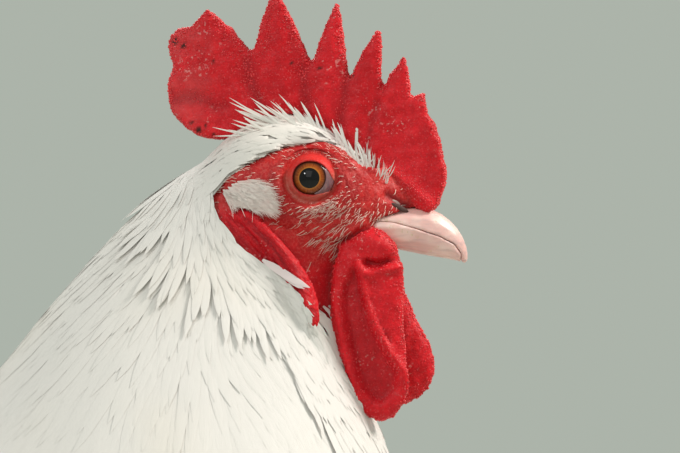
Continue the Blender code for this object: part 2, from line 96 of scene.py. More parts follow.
# ------------------------------------------------------------------ the room
# A plain pale floor that runs on into pale soft light on every side, a broad bright lamp high on
# the right, a weaker one beside the lens and one behind the bird that edges the comb and the neck.
class Wire:
    """An output of a material's nodes.  Arithmetic on it adds the Math nodes."""

    def __init__(self, finish, socket):
        self.finish, self.socket = finish, socket

    def math(self, operation, other, turned=False):
        pair = (other, self) if turned else (self, other)
        return self.finish.node("ShaderNodeMath", {"operation": operation}, *pair)

    def __add__(self, other):
        return self.math("ADD", other)

    def __sub__(self, other):
        return self.math("SUBTRACT", other)

    def __rsub__(self, other):
        return self.math("SUBTRACT", other, True)

    def __mul__(self, other):
        return self.math("MULTIPLY", other)

    def __pow__(self, other):
        return self.math("POWER", other)

    __radd__, __rmul__ = __add__, __mul__

    def between(self, low, high):
        """0 at low, 1 at high, and smooth in the middle."""
        kind = {"interpolation_type": "SMOOTHSTEP"}
        return self.finish.node("ShaderNodeMapRange", kind, self, low, high, 0.0, 1.0)


class Finish:
    """A procedural material: one main shader, and the nodes that feed it."""

    def __init__(self, name, **constants):
        self.material = bpy.data.materials.new(name)
        self.material.use_nodes = True
        self.tree = self.material.node_tree
        self.shader = self.tree.nodes["Principled BSDF"]
        for socket, value in constants.items():
            self.shader.inputs[socket.replace("_", " ")].default_value = value

    def plug(self, socket, value):
        if isinstance(value, Wire):
            self.tree.links.new(value.socket, socket)
        elif isinstance(value, tuple) and socket.type == "RGBA":
            socket.default_value = (*value, 1.0)
        else:
            socket.default_value = value

    def node(self, kind, settings=None, *values, out=0, **named):
        """Adds any node: its settings first, then its sockets in order or by name."""
        made = self.tree.nodes.new(kind)
        for key, value in (settings or {}).items():
            setattr(made, key, value)
        for socket, value in zip(made.inputs, values):
            self.plug(socket, value)
        for key, value in named.items():
            self.plug(made.inputs[key], value)
        return Wire(self, made.outputs[out])

    def place(self):
        """The point on the object, in metres."""
        return self.node("ShaderNodeTexCoord", out="Object")

    def axis(self, vector, letter):
        return self.node("ShaderNodeSeparateXYZ", None, vector, out=letter)

    def noise(self, vector, scale, detail=3.0, rough=0.5):
        return self.node(
            "ShaderNodeTexNoise", None, Vector=vector, Scale=scale, Detail=detail, Roughness=rough
        )

    def cells(self, vector, scale, out="Distance"):
        return self.node("ShaderNodeTexVoronoi", None, out=out, Vector=vector, Scale=scale)

    def stretched(self, vector, sizes):
        """The same place with its axes drawn out, for streaks."""
        return self.node("ShaderNodeVectorMath", {"operation": "MULTIPLY"}, vector, sizes)

    def tint(self, mask, under, over):
        """One colour laid over another through a mask."""
        made = self.tree.nodes.new("ShaderNodeMix")
        made.data_type = "RGBA"
        for socket, value in zip((made.inputs[0], made.inputs[6], made.inputs[7]), (mask, under, over)):
            self.plug(socket, value)
        return Wire(self, made.outputs[2])

    def bump(self, height, strength, depth):
        return self.node("ShaderNodeBump", None, Strength=strength, Distance=depth, Height=height)

    def feed(self, **wires):
        for socket, wire in wires.items():
            self.plug(self.shader.inputs[socket.replace("_", " ")], wire)
        return self.material


PALE = (0.61, 0.67, 0.59)
ROOM_LIGHT = 0.68
world = bpy.data.worlds.new("room")
world.use_nodes = True
air = world.node_tree.nodes["Background"].inputs
air["Color"].default_value = (*PALE, 1)
air["Strength"].default_value = ROOM_LIGHT
bpy.context.scene.world = world

bpy.ops.object.select_all(action="DESELECT")
bpy.ops.mesh.primitive_circle_add(vertices=96, radius=60, fill_type="NGON", location=(0, 0, -0.0002))
floor = bpy.context.object
floor.name = "floor"
paper = Finish("floor_paper", Roughness=0.8, Specular_IOR_Level=0.1)
underfoot = paper.place()
far = paper.node("ShaderNodeVectorMath", {"operation": "LENGTH"}, underfoot, out="Value").between(0.8, 4.0)
fibre = paper.noise(underfoot, 60.0)
paper.feed(Base_Color=paper.tint(fibre * 0.2, (0.52, 0.56, 0.50), (0.47, 0.51, 0.46)))
glow = paper.node("ShaderNodeEmission", None, PALE, ROOM_LIGHT)
blended = paper.node("ShaderNodeMixShader", None, far, Wire(paper, paper.shader.outputs[0]), glow)
paper.tree.links.new(blended.socket, paper.tree.nodes["Material Output"].inputs["Surface"])
floor.data.materials.append(paper.material)


def lamp(name, offset, size, watts, colour):
    """A square soft light, set off from the eye and turned to it."""
    light = bpy.data.lights.new(name, "AREA")
    light.size, light.energy, light.color = size, watts, colour
    holder = placed(name, light)
    holder.location = EYE + Vector(offset)
    holder.rotation_euler = (-Vector(offset)).to_track_quat("-Z", "Y").to_euler()


lamp("key", (1.60, 0.05, 1.50), 0.55, 52, (1.0, 0.95, 0.88))
lamp("fill", (-0.3, -1.9, 1.2), 1.8, 11, (1.0, 0.98, 0.96))
lamp("window", (-0.86, -0.88, 0.78), 0.16, 4, (1.0, 1.0, 1.0))
lamp("back", (-0.9, 1.7, 1.9), 1.1, 22, (1.0, 0.98, 0.95))


# ------------------------------------------------------------------ skin
# One skin covers the bird from the comb to the soles: bare and red on the head, pale and
# goose-pimpled under the feathers, hard and scaly on the legs.  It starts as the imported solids, and
# under the feathers it is drawn in by the depth of the coat.
def only(obj):
    """Leaves one object selected, for the next operator."""
    bpy.ops.object.select_all(action="DESELECT")
    obj.select_set(True)
    bpy.context.view_layer.objects.active = obj


def finish_with(obj, kind, **settings):
    """Adds one modifier and applies it."""
    modifier = obj.modifiers.new(kind.lower(), kind)
    for key, value in settings.items():
        setattr(modifier, key, value)
    only(obj)
    bpy.ops.object.modifier_apply(modifier=modifier.name)
    return obj


def joined(name, objs):
    only(objs[0])
    for obj in objs:
        obj.select_set(True)
    if len(objs) > 1:
        bpy.ops.object.join()
    objs[0].name = objs[0].data.name = name
    return objs[0]


def copy_of(name, *nodes, swell=0.0):
    """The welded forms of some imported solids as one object, a little larger than they are."""
    copies = []
    for node in nodes:
        copy = placed(node + "_copy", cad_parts[node].data.copy())
        copy.data.materials.clear()
        only(copy)
        bpy.ops.object.mode_set(mode="EDIT")
        bpy.ops.mesh.select_all(action="SELECT")
        bpy.ops.mesh.remove_doubles(threshold=0.00001)
        bpy.ops.object.mode_set(mode="OBJECT")
        if swell:
            finish_with(copy, "DISPLACE", strength=swell, mid_level=0.0)
        copies.append(copy)
    return joined(name, copies)


def rounded(obj, voxel, passes):
    """The same form in an even mesh, with its facets smoothed away."""
    finish_with(obj, "REMESH", mode="VOXEL", voxel_size=voxel)
    return finish_with(obj, "SMOOTH", factor=0.5, iterations=passes)


def points_of(mesh, what="co"):
    flat = np.empty(len(mesh.vertices) * 3)
    mesh.vertices.foreach_get(what, flat)
    return flat.reshape(-1, 3)


def set_points(mesh, points):
    mesh.vertices.foreach_set("co", np.ascontiguousarray(points, dtype=np.float64).ravel())
    mesh.update()


def tree_of(obj):
    return BVHTree.FromObject(obj, bpy.context.evaluated_depsgraph_get())


def rise(value, low, high):
    """0 up to low, 1 from high on, smooth in between."""
    share = np.clip((np.asarray(value, dtype=float) - low) / (high - low), 0.0, 1.0)
    return share * share * (3 - 2 * share)


# Places on the head are given as they lie in the side view, in millimetres from the middle between
# the eyes.
HEAD_MIDDLE = Vector((EYE.x - 0.0015, 0, EYE.z))
BARE_FACE = (
    (-27.0, -2.6), (-21.0, 1.2), (-15.0, 5.2), (-9.0, 8.4), (-2.5, 10.6), (5.0, 10.8), (10.5, 8.6),
    (15.0, 4.6), (20.0, 1.5), (26.0, 3.0), (50.0, 4.0), (50.0, -72.0), (30.0, -71.0), (17.0, -66.0),
    (11.0, -56.5), (6.5, -49.0), (2.6, -43.0), (-0.4, -38.0), (-7.6, -30.6), (-14.6, -25.4),
    (-21.2, -19.8), (-26.6, -12.0), (-28.6, -6.0),
)
EAR_TUFT = ((-25.6, -3.6), (-22.0, -1.2), (-18.0, -0.1), (-15.4, -0.6), (-13.0, -2.6), (-12.2, -5.4),
            (-12.8, -8.6), (-15.4, -8.0), (-18.6, -7.0), (-22.0, -6.6), (-25.4, -5.6))


def drawn(points_mm):
    return [(HEAD_MIDDLE.x + x * MM, HEAD_MIDDLE.z + z * MM) for x, z in points_mm]


def by_head(x, z):
    return (x - HEAD_MIDDLE.x) / MM, (z - HEAD_MIDDLE.z) / MM


def inside(outline, x, z):
    """Whether a place in the side view lies inside an outline."""
    found = False
    for (ax, az), (bx, bz) in zip(outline, outline[1:] + outline[:1]):
        if (az > z) != (bz > z) and x < ax + (z - az) * (bx - ax) / (bz - az):
            found = not found
    return found


def far_from_line(flat, line):
    """How far each point of the side view lies from a drawn line."""
    nearest = np.full(len(flat), 1.0)
    for start, end in zip(line, line[1:]):
        start, end = np.array(start), np.array(end)
        run = end - start
        share = np.clip((flat - start) @ run / (run @ run), 0, 1)
        nearest = np.minimum(nearest, np.linalg.norm(flat - start - share[:, None] * run, axis=1))
    return nearest


def within(flat, outline):
    """How far inside an outline each point of the side view lies: less than 0 outside it."""
    away = far_from_line(flat, drawn(outline + outline[:1]))
    return np.where([inside(outline, *by_head(x, z)) for x, z in flat], away, -away)


# The bare head, finely meshed.  Thin leaves are smoothed less than the cheeks, or they would shrink.
HEAD_VOXEL = 0.00082
face_form = rounded(copy_of("face_form", "head", swell=0.0002), 0.0008, 26)
comb_form = rounded(copy_of("comb_form", "comb", swell=0.0003), 0.0006, 5)
flap_form = rounded(
    copy_of("flap_form", "wattle_R", "wattle_L", "earlobe_R", "earlobe_L", swell=0.0004), 0.0006, 9
)
# The ear lobes curve forward, and their rear edges are tucked in under the hackle.
LOBE_FRONT = ((-13.0, -9.0), (-7.8, -16.0), (-2.5, -23.0), (1.2, -31.0), (2.6, -38.0), (2.9, -44.0))
spots = points_of(flap_form.data)
x_mm, z_mm = by_head(spots[:, 0], spots[:, 2])
on_lobe = 1 - rise(x_mm, 4.6, 5.6)
spots[:, 0] += on_lobe * 2.4 * MM * np.sin(pi * np.clip((-z_mm - 9) / 36, 0, 1))
behind = far_from_line(spots[:, (0, 2)], drawn(LOBE_FRONT))
tucked = on_lobe * (0.6 + 3.6 * rise(behind, 2.6 * MM, 9.5 * MM)) * MM
spots[:, 1] -= np.sign(spots[:, 1]) * tucked
set_points(flap_form.data, spots)
face_tree, comb_tree, flap_tree = tree_of(face_form), tree_of(comb_form), tree_of(flap_form)
head_skin = joined("head_skin", [face_form, comb_form, flap_form])
rounded(head_skin, HEAD_VOXEL, 2)

# Folds and creases, drawn on each side of the head from the middle between the eyes:
# (line, how wide, how high), in millimetres.
HEAD_FOLDS = (
    (((20.3, 2.5), (26, 1.2), (31, -3.0), (36.5, -8.0)), 2.0, 1.5),           # roll over the nostril
    (((24.5, -5.0), (30.0, -8.6)), 1.3, -1.3),                                # hollow of the nostril
    (((8.6, -17.6), (13.0, -15.8), (17.2, -13.2)), 1.0, 1.1),                 # fold behind the gape
    (((9.0, -19.4), (13.5, -17.6), (18.2, -15.4)), 0.7, -1.1),
    (((18.6, -18.6), (21.5, -19.2), (24.6, -21.6)), 3.0, 1.8),                # top of the wattle
    (((15.7, -25.2), (17.4, -28.2), (20.0, -28.9), (24.5, -27.6), (27.8, -27.0)), 1.1, 1.3),
    (((16.2, -25.8), (18.2, -35.4), (21.4, -44.7), (25.0, -52.2), (29.2, -58.2), (29.8, -63.0),
      (28.6, -67.0)), 1.25, 1.5),                                             # its main fold
    (((9.0, -36.0), (10.8, -47.0), (13.0, -57.3), (16.4, -66.0)), 1.2, 0.9),
    (((13.4, -29.0), (14.8, -36.0), (17.6, -45.0), (20.6, -53.0)), 0.6, 0.6),
    (((19.5, -36.0), (22.6, -44.0), (25.6, -49.0)), 0.6, -0.5),
    (((-14.5, -12.2), (-9.4, -17.4), (-4.6, -23.4), (-0.8, -31.0), (1.0, -38.0)), 1.0, 0.7),
    # the ear lobe's furrows lie behind its rim
    (((-18.0, -12.0), (-12.4, -17.6), (-7.4, -23.4), (-3.4, -30.0), (-0.8, -37.0)), 0.7, -1.0),
    (((-20.6, -12.8), (-15.4, -18.2), (-10.4, -23.8), (-6.0, -29.6)), 0.55, -0.7),
    (((-23.0, -13.4), (-18.2, -18.8), (-13.4, -23.6), (-9.0, -27.8)), 0.55, -0.6),
    (((-16.8, -13.6), (-11.6, -18.6), (-7.0, -24.6)), 0.4, 0.3),
    (((-6.0, -9.0), (0.0, -11.4), (7.0, -11.0), (12.0, -8.5)), 0.9, 0.35),    # bag under the eye
    (((-6.5, -10.6), (0.0, -13.2), (7.5, -12.8), (13.0, -10.2)), 0.6, -0.3),
    (((10.0, 7.5), (14.0, 4.0), (17.5, -0.5)), 1.2, 0.4),
    (((-9.0, 52.0), (-9.5, 42.0), (-8.0, 31.0), (-6.0, 24.0)), 2.6, 0.6),     # ribs of the comb's spikes
    (((8.0, 50.0), (5.5, 40.0), (4.5, 29.0), (5.0, 20.0)), 2.4, 0.6),
    (((20.6, 42.0), (17.8, 33.0), (15.0, 23.0), (14.0, 15.0)), 2.2, 0.5),
    (((28.6, 34.0), (25.4, 26.0), (22.5, 17.0), (21.0, 10.0)), 2.0, 0.5),
    (((-31.0, 48.0), (-29.0, 38.0), (-25.0, 29.0), (-19.0, 22.0)), 2.8, 0.6),
    (((-19.0, 36.0), (-17.5, 28.0), (-14.0, 21.0)), 2.2, -0.6),               # and the troughs between
    (((-1.8, 34.0), (-1.4, 27.0), (-0.5, 20.0)), 2.0, -0.6),
    (((11.4, 30.0), (10.2, 23.0), (9.5, 16.0)), 1.8, -0.6),
    (((21.0, 23.0), (19.2, 16.0), (18.0, 10.0)), 1.6, -0.5),
    (((-42.0, 24.0), (-34.0, 24.5), (-26.0, 22.0)), 2.6, -0.6),
)
# Hollows with a firm edge: (outline, how far the edge runs in, how deep), in millimetres.
HEAD_HOLLOWS = (
    (((12.9, -26.8), (15.2, -25.8), (17.0, -29.4), (18.2, -35.4), (21.2, -44.7), (24.8, -52.2), (28.8, -58.2),
      (28.2, -64.2), (23.7, -69.0), (19.8, -68.1), (17.1, -65.1), (13.8, -57.3), (11.7, -47.4), (10.0, -38.1),
      (10.4, -32.1)), 2.4, 2.6),                                              # the wattle's long valley
    (((16.6, -25.4), (18.2, -23.4), (21.3, -24.2), (25.2, -23.2), (26.8, -25.0), (22.8, -27.2),
      (18.6, -27.0)), 1.1, 2.6),                                              # the pit over its main fold
    (((3.8, -28.0), (8.6, -27.0), (8.4, -36.0), (6.2, -42.0)), 2.4, 1.6),     # between lobe and wattle
)


def pimples(points, size, seed):
    """A lumpy height from -1 to 1, made of a few crossed waves, for skin at any place."""
    waves = np.random.default_rng(seed)
    height = np.zeros(len(points))
    for _ in range(7):
        way = waves.normal(size=3)
        height += np.sin(points @ (way / np.linalg.norm(way)) * (2 * pi / size) + waves.uniform(0, 2 * pi))
    return height / 7 * 1.6


spots = points_of(head_skin.data)
facing = points_of(head_skin.data, "normal")
side = np.sign(spots[:, 1])
outer = rise(facing[:, 1] * side, 0.05, 0.6)          # 1 on surfaces that face away from the middle
moved = np.zeros(len(spots))
for line, wide, high in HEAD_FOLDS:
    strength = np.exp(-(far_from_line(spots[:, (0, 2)], drawn(line)) / (wide * MM)) ** 2) * outer
    moved += strength * high * MM
for outline, edge, deep in HEAD_HOLLOWS:
    strength = rise(within(spots[:, (0, 2)], outline), 0.0, edge * MM) * outer
    moved -= strength * deep * MM

near_comb, near_flap, near_face = (
    np.array([tree.find_nearest(Vector(spot))[3] for spot in spots])
    for tree in (comb_tree, flap_tree, face_tree)
)
fleshy = rise(near_face - np.minimum(near_comb, near_flap), -0.0012, 0.0012)     # comb, wattles and lobes
moved += fleshy * (0.16 * pimples(spots, 1.6 * MM, 3) + 0.22 * pimples(spots, 4.5 * MM, 4)) * MM
moved += (1 - fleshy) * (0.10 * pimples(spots, 1.5 * MM, 5) + 0.16 * pimples(spots, 3.4 * MM, 6)) * MM
# Where feathers grow, the skin lies deeper, to leave room for them.
BROW_COAT = 2.0
moved -= (1 - fleshy) * BROW_COAT * MM * (1 - rise(within(spots[:, (0, 2)], BARE_FACE), -2.0 * MM, -0.2 * MM))
spots = spots + facing * moved[:, None]

# Round each eye the skin sinks, to make room for the lids that lie over it.
LID_ROOM = 0.0095
for eye_side in (-1, 1):
    centre = np.array((EYE.x, eye_side * abs(EYE.y), EYE.z))
    reach = np.linalg.norm((spots - centre)[:, (0, 2)], axis=1)
    near = (np.sign(spots[:, 1]) == eye_side) & (outer > 0.2)
    spots[:, 1] -= eye_side * near * (1 - rise(reach, LID_ROOM - 0.0015, LID_ROOM)) * 0.0022
set_points(head_skin.data, spots)

# The lids are two soft rolls round an opening that runs to a point at the front, low down.
# The opening's edge, from the rear round over the top, in millimetres from the eye's centre:
EYE_OPENING = (
    (-5.1, 0.2), (-4.5, 2.8), (-2.7, 4.4), (0.2, 5.0), (3.0, 4.4), (5.2, 2.4), (6.5, -0.2), (7.8, -3.0),
    (5.6, -3.8), (2.8, -4.6), (0.0, -4.9), (-2.7, -4.2), (-4.5, -2.4),
)
# Across a lid, from under its rim outwards: (distance from the rim, height over the eyeball or the face)
LID_SECTION = (
    (-0.15, -1.6), (0.0, -0.25), (0.12, 0.28), (0.45, 0.56), (0.95, 0.60), (1.45, 0.40), (1.85, 0.16),
    (2.15, 0.20), (2.6, 0.50), (3.1, 0.54), (3.6, 0.26), (3.95, 0.12), (4.5, 0.30), (5.2, 0.26),
    (6.2, 0.12), (7.4, -0.05), (8.6, -0.7), (6.0, -3.2), (2.0, -3.4),
)
LID_TURNS = 100


def even_angles(outline):
    """The outline's distance from the eye's centre at evenly spaced angles."""
    angles = np.array([np.arctan2(z, x) for x, z in outline])
    reach = np.array([np.hypot(x, z) for x, z in outline])
    order = np.argsort(angles)
    turns = np.linspace(-pi, pi, LID_TURNS, endpoint=False)
    found = np.interp(turns, angles[order], reach[order], period=2 * pi)
    for _ in range(5):
        found = found * 0.5 + (np.roll(found, 1) + np.roll(found, -1)) * 0.25
    return turns, found


def lids(eye_side):
    """Both lids of one eye as one closed ring, its outer part laid on the face."""
    centre = Vector((EYE.x, eye_side * abs(EYE.y), EYE.z))
    hug = EYE_RADIUS + 0.0001
    mesh = bmesh.new()
    rings = []
    for turn, reach in zip(*even_angles(EYE_OPENING)):
        ring = []
        for out, high in LID_SECTION:
            wider = 1.0 - 0.60 * float(rise(sin(turn), 0.1, 0.8) * rise(out, 2.6, 8.0))
            away = (reach + out * wider) * MM
            x, z = centre.x + away * cos(turn), centre.z + away * sin(turn)
            ball = (hug ** 2 - min(away, hug * 0.985) ** 2) ** 0.5
            start = Vector((x, eye_side * 0.05, z))
            hit = face_tree.ray_cast(start, Vector((0, -eye_side, 0)))[0]
            face = abs((hit or centre).y) - abs(centre.y)
            blend = float(rise(out, 0.6, 4.6))
            pucker = 0.09 * sin(turn * 37 + out * 2) * float(rise(out, 0.3, 1.2))
            pucker += 0.06 * sin(turn * 61 - out * 3)
            depth = ball * (1 - blend) + face * blend + (high + pucker) * MM
            if high > -0.2:                 # all but the rim's underside keeps clear of the ball
                depth = max(depth, ball + 0.00018)
            ring.append(mesh.verts.new((x, eye_side * (abs(centre.y) + depth), z)))
        rings.append(ring)
    for ring, after in zip(rings, rings[1:] + rings[:1]):
        for i in range(len(ring)):
            j = (i + 1) % len(ring)
            mesh.faces.new((ring[i], ring[j], after[j], after[i]))
    bmesh.ops.recalc_face_normals(mesh, faces=mesh.faces)
    data = bpy.data.meshes.new("lids")
    mesh.to_mesh(data)
    return finish_with(placed("lids", data), "SUBSURF", levels=1, render_levels=1)


head_skin = joined("head_skin", [head_skin, lids(-1), lids(1)])

# The body under the feathers: drawn in least at the face and most over the breast and back.
COAT_AT_FACE, COAT_ON_BODY, THIGHS_LESS = 0.0016, 0.0075, 0.0044
BODY_VOXEL = 0.0036


def coat_depth(points):
    """How deep the coat is at each point, by its distance from the middle of the head."""
    away = np.linalg.norm(np.asarray(points) - np.array(HEAD_MIDDLE + Vector((-0.006, 0, 0))), axis=-1)
    deep = COAT_AT_FACE + (COAT_ON_BODY - COAT_AT_FACE) * rise(away, 0.022, 0.085)
    return deep - THIGHS_LESS * rise(-np.asarray(points)[..., 2], -0.20, -0.135)


def filled(obj, passes, share):
    """Fills the creases where one form meets the next, and leaves what stands out."""
    plain, outwards = points_of(obj.data), points_of(obj.data, "normal")
    smoother = finish_with(placed("smoother", obj.data.copy()), "SMOOTH", factor=0.5, iterations=passes)
    rises = ((points_of(smoother.data) - plain) * outwards).sum(axis=1)
    bpy.data.objects.remove(smoother)
    set_points(obj.data, plain + outwards * (np.maximum(rises, 0) * share(plain))[:, None])
    return obj


def below_head(points):
    return rise(np.linalg.norm(points - np.array(HEAD_MIDDLE), axis=1), 0.105, 0.150)


FEATHERED = ("neck", "trunk", "crown", "head", "tail_coverts", "thigh_R", "thigh_L",
             "wing_coverts_R", "wing_coverts_L", "wing_flights_R", "wing_flights_L")
body = rounded(copy_of("body", *FEATHERED, swell=0.0006), BODY_VOXEL, 10)
for _ in range(3):
    filled(body, 40, below_head)
coat_tree = tree_of(body)                            # the outside of the coat
spots = points_of(body.data)
from_eye = np.linalg.norm(spots[:, (0, 2)] - np.array((EYE.x, EYE.z)), axis=1)
drawn_in = coat_depth(spots) + 0.0050 * (1 - rise(from_eye, 0.0080, 0.0105))
set_points(body.data, spots - points_of(body.data, "normal") * drawn_in[:, None])
rounded(body, BODY_VOXEL, 6)
for polygon in body.data.polygons:
    polygon.use_smooth = True
coat_base = placed("coat_base", body.data.copy())    # what the feathers are laid on

# Legs: shanks, soles and toes.
LEG_SKIN = [f"{part}_{tag}" for part in ("shank", "foot", "toe_middle", "toe_inner", "toe_outer", "toe_hind")
            for tag in "RL"]
legs = rounded(copy_of("legs", *LEG_SKIN, swell=0.0002), 0.0012, 5)


def grown_together(whole, other):
    """Adds one closed form to another, with no wall left inside."""
    finish_with(whole, "BOOLEAN", operation="UNION", solver="MANIFOLD", object=other)
    bpy.data.objects.remove(other)
    return whole


skin = grown_together(grown_together(body, legs), head_skin)
skin.name = skin.data.name = "skin"
floor_level = points_of(skin.data)
floor_level[:, 2] = np.maximum(floor_level[:, 2], 0.0)
set_points(skin.data, floor_level)
for polygon in skin.data.polygons:
    polygon.use_smooth = True


def paint_on(obj, name, values):
    """Stores one number for each point of a mesh, which a finish can read by name."""
    layer = obj.data.attributes.new(name, "FLOAT", "POINT")
    layer.data.foreach_set("value", np.ascontiguousarray(values, dtype=np.float32))


spots = points_of(skin.data)
flat = spots[:, (0, 2)]
head_part = spots[:, 2] > 0.40
near_comb, near_flap, near_face = (np.ones(len(spots)) for _ in range(3))
for i in np.flatnonzero(head_part):
    spot = Vector(spots[i])
    near_comb[i], near_flap[i], near_face[i] = (
        tree.find_nearest(spot)[3] for tree in (comb_tree, flap_tree, face_tree)
    )
flush = rise(near_face - np.minimum(near_comb, near_flap), -0.0015, 0.0015)
bare = np.zeros(len(spots))
bare[head_part] = rise(within(flat[head_part], BARE_FACE), -0.0040, -0.0022)
bare = np.maximum(bare, head_part & (np.minimum(near_comb, near_flap) < 0.0012))
outward = rise(points_of(skin.data, "normal")[:, 1] * np.sign(spots[:, 1]), 0.05, 0.6)
# Painted shade: the skin's colour is darkened along the troughs of the folds and in the hollows, where shade
# falls.
painted_hollow_shade = np.zeros(len(spots))
for line, wide, high in HEAD_FOLDS:
    if high < 0:
        painted_hollow_shade += np.exp(-(far_from_line(flat, drawn(line)) / (wide * MM * 0.8)) ** 2) * outward * -high
for outline, edge, deep in HEAD_HOLLOWS:
    sunk = rise(within(flat[head_part], outline), 0.0, edge * MM)
    painted_hollow_shade[head_part] += sunk * outward[head_part] * deep * 0.22
# Scabs: small dark crusts where the comb was pecked: (x, z, radius), in millimetres.
SCABS = ((-41.2, 42.0, 1.3), (-38.4, 40.4, 0.9), (-33.6, 14.6, 1.2), (-31.6, 16.0, 0.6), (-36.0, 17.0, 0.5),
         (12.6, 39.0, 0.5), (13.0, 31.0, 0.6), (-17.4, 42.0, 0.6), (3.2, 33.6, 0.5), (-5.4, 35.4, 0.4),
         (-29.0, 35.6, 0.5), (-29.0, 13.4, 0.5))
scab = np.zeros(len(spots))
for x, z, size in SCABS:
    scab += 1 - rise(far_from_line(flat, drawn(((x, z), (x + 0.2, z)))), size * 0.6 * MM, size * 1.2 * MM)
eye_reach = np.linalg.norm(np.abs(spots) - np.array((EYE.x, abs(EYE.y), EYE.z)), axis=1)
opening = np.linalg.norm(flat - np.array((EYE.x, EYE.z)), axis=1)
paint_on(skin, "flush", flush)
paint_on(skin, "bare", bare)
paint_on(skin, "scab", np.clip(scab, 0, 1) * flush * (flat[:, 1] > HEAD_MIDDLE.z))
paint_on(skin, "painted_hollow_shade", np.clip(painted_hollow_shade, 0, 1.5) * bare)
lid_band = rise(opening, 0.0050, 0.0060) * (1 - rise(opening, 0.0074, 0.0084))
paint_on(skin, "lid", lid_band * (eye_reach < 0.013))
on_flap = (near_flap < 0.0010) & (by_head(flat[:, 0], flat[:, 1])[0] < 4.5)
paint_on(skin, "lobe", on_flap * rise(flush, 0.3, 0.9))

flesh = Finish("skin_of_the_bird", Specular_IOR_Level=0.22, Subsurface_Weight=0.22, Subsurface_Scale=0.0035,
               Subsurface_Radius=(1.0, 0.22, 0.12))
at = flesh.place()


def read(name):
    return flesh.node("ShaderNodeAttribute", {"attribute_name": name}, out="Fac")


blotches = flesh.noise(at, 80.0, 4.0, 0.6).between(0.35, 0.68)
mottle = flesh.noise(at, 420.0, 4.0, 0.65).between(0.38, 0.66)
grains = flesh.cells(at, 1500.0)
fine = flesh.noise(at, 2600.0, 2.0)
comb_red = flesh.tint(blotches, (0.60, 0.005, 0.012), (0.74, 0.012, 0.022))
comb_red = flesh.tint(mottle * 0.45, comb_red, (0.42, 0.004, 0.010))
speckle = grains.between(0.52, 0.80) * fine.between(0.5, 0.62)
comb_red = flesh.tint(speckle * 0.22, comb_red, (0.84, 0.20, 0.21))
# Painted light: paler pink towards the comb's rear, standing in for light scattered through the thin comb.
rear = 1 - flesh.axis(at, "X").between(HEAD_MIDDLE.x - 0.041, HEAD_MIDDLE.x - 0.024)
painted_rear_glow = rear * flesh.noise(at, 120.0, 2.0).between(0.25, 0.7)
comb_red = flesh.tint(painted_rear_glow * 0.6, comb_red, (0.70, 0.085, 0.090))
flakes = flesh.noise(at, 900.0, 2.0).between(0.60, 0.66) * flesh.noise(at, 110.0, 2.0).between(0.54, 0.64)
comb_red = flesh.tint(flakes * 0.5, comb_red, (0.76, 0.34, 0.33))
face_red = flesh.tint(blotches, (0.48, 0.012, 0.014), (0.62, 0.028, 0.026))
face_red = flesh.tint(mottle * 0.55, face_red, (0.31, 0.006, 0.009))
face_red = flesh.tint(grains.between(0.45, 0.75) * 0.20, face_red, (0.72, 0.16, 0.14))
red = flesh.tint(read("flush"), face_red, comb_red)
over_eye = flesh.axis(at, "Z").between(EYE.z, EYE.z + 0.004)
lid_red = flesh.tint(over_eye, (0.58, 0.130, 0.100), (0.72, 0.030, 0.026))
red = flesh.tint(read("lid") * mottle.between(-0.6, 0.7) * 0.85, red, lid_red)
# The lobes' skin is drawn into wrinkles from the ear down; painted shade darkens each wrinkle.
along_lobe = flesh.node("ShaderNodeMapping", {}, at, (0.0, 0.0, 0.0), (0.0, radians(-46), 0.0))
wrinkles = flesh.noise(flesh.stretched(along_lobe, (120.0, 500.0, 950.0)), 1.0, 3.0, 0.6)
creased = read("lobe") * (1 - wrinkles.between(0.30, 0.56))
# Painted shade in the lobe's wrinkles.
red = flesh.tint(creased * 0.55, red, (0.26, 0.006, 0.012))
# Painted shade in the creases and hollows.
red = flesh.tint(read("painted_hollow_shade") * 0.60, red, (0.16, 0.004, 0.008))
red = flesh.tint(read("scab") * mottle.between(-0.4, 0.5), red, (0.035, 0.012, 0.010))
down = flesh.tint(blotches, (0.80, 0.73, 0.68), (0.86, 0.80, 0.74))
scaly = flesh.tint(mottle, (0.72, 0.54, 0.45), (0.84, 0.70, 0.60))
low = flesh.axis(at, "Z").between(0.118, 0.128)
pale = flesh.tint(low, scaly, down)
pores = flesh.bump(grains * -0.6 + fine * 0.25 + mottle * 0.9 - creased * 3.0, 0.40, 0.00032)
flesh.feed(Base_Color=flesh.tint(read("bare"), pale, red), Normal=pores,
           Roughness=flesh.noise(at, 700.0).between(0.2, 0.8) * 0.20 + 0.36)


def kept_inside(obj):
    """No tip reaches past the bird's own length, breadth and height."""
    set_points(obj.data, np.clip(points_of(obj.data), *(np.array(corner) for corner in cad_box)))
    return obj


def on_bird(obj, finish, slot, *stands_for):
    """Gives a finished piece its material and body, and hides the imported solids it stands for; slot is not
    used.
    """
    kept_inside(obj).data.materials.clear()
    obj.data.materials.append(finish.material)
    for polygon in obj.data.polygons:
        polygon.use_smooth = True
    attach(obj, "root")
    if stands_for:
        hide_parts(*stands_for)
    return obj


on_bird(skin, flesh, "face_skin", "head", "neck", "trunk", "crown", "comb", "wattle_R", "wattle_L",
        "earlobe_R", "earlobe_L", "thigh_R", "thigh_L", *LEG_SKIN)


# ------------------------------------------------------------------ eyes
# Wet balls with a clear dome in front: an orange-brown iris with a dark edge round a large black
# pupil, and the grey-pink third lid drawn back into the front corner.
IRIS_RADIUS, PUPIL_RADIUS, DOME_HEIGHT = 0.0050, 0.0031, 0.0007
EYEBALL = EYE_RADIUS - 0.0002

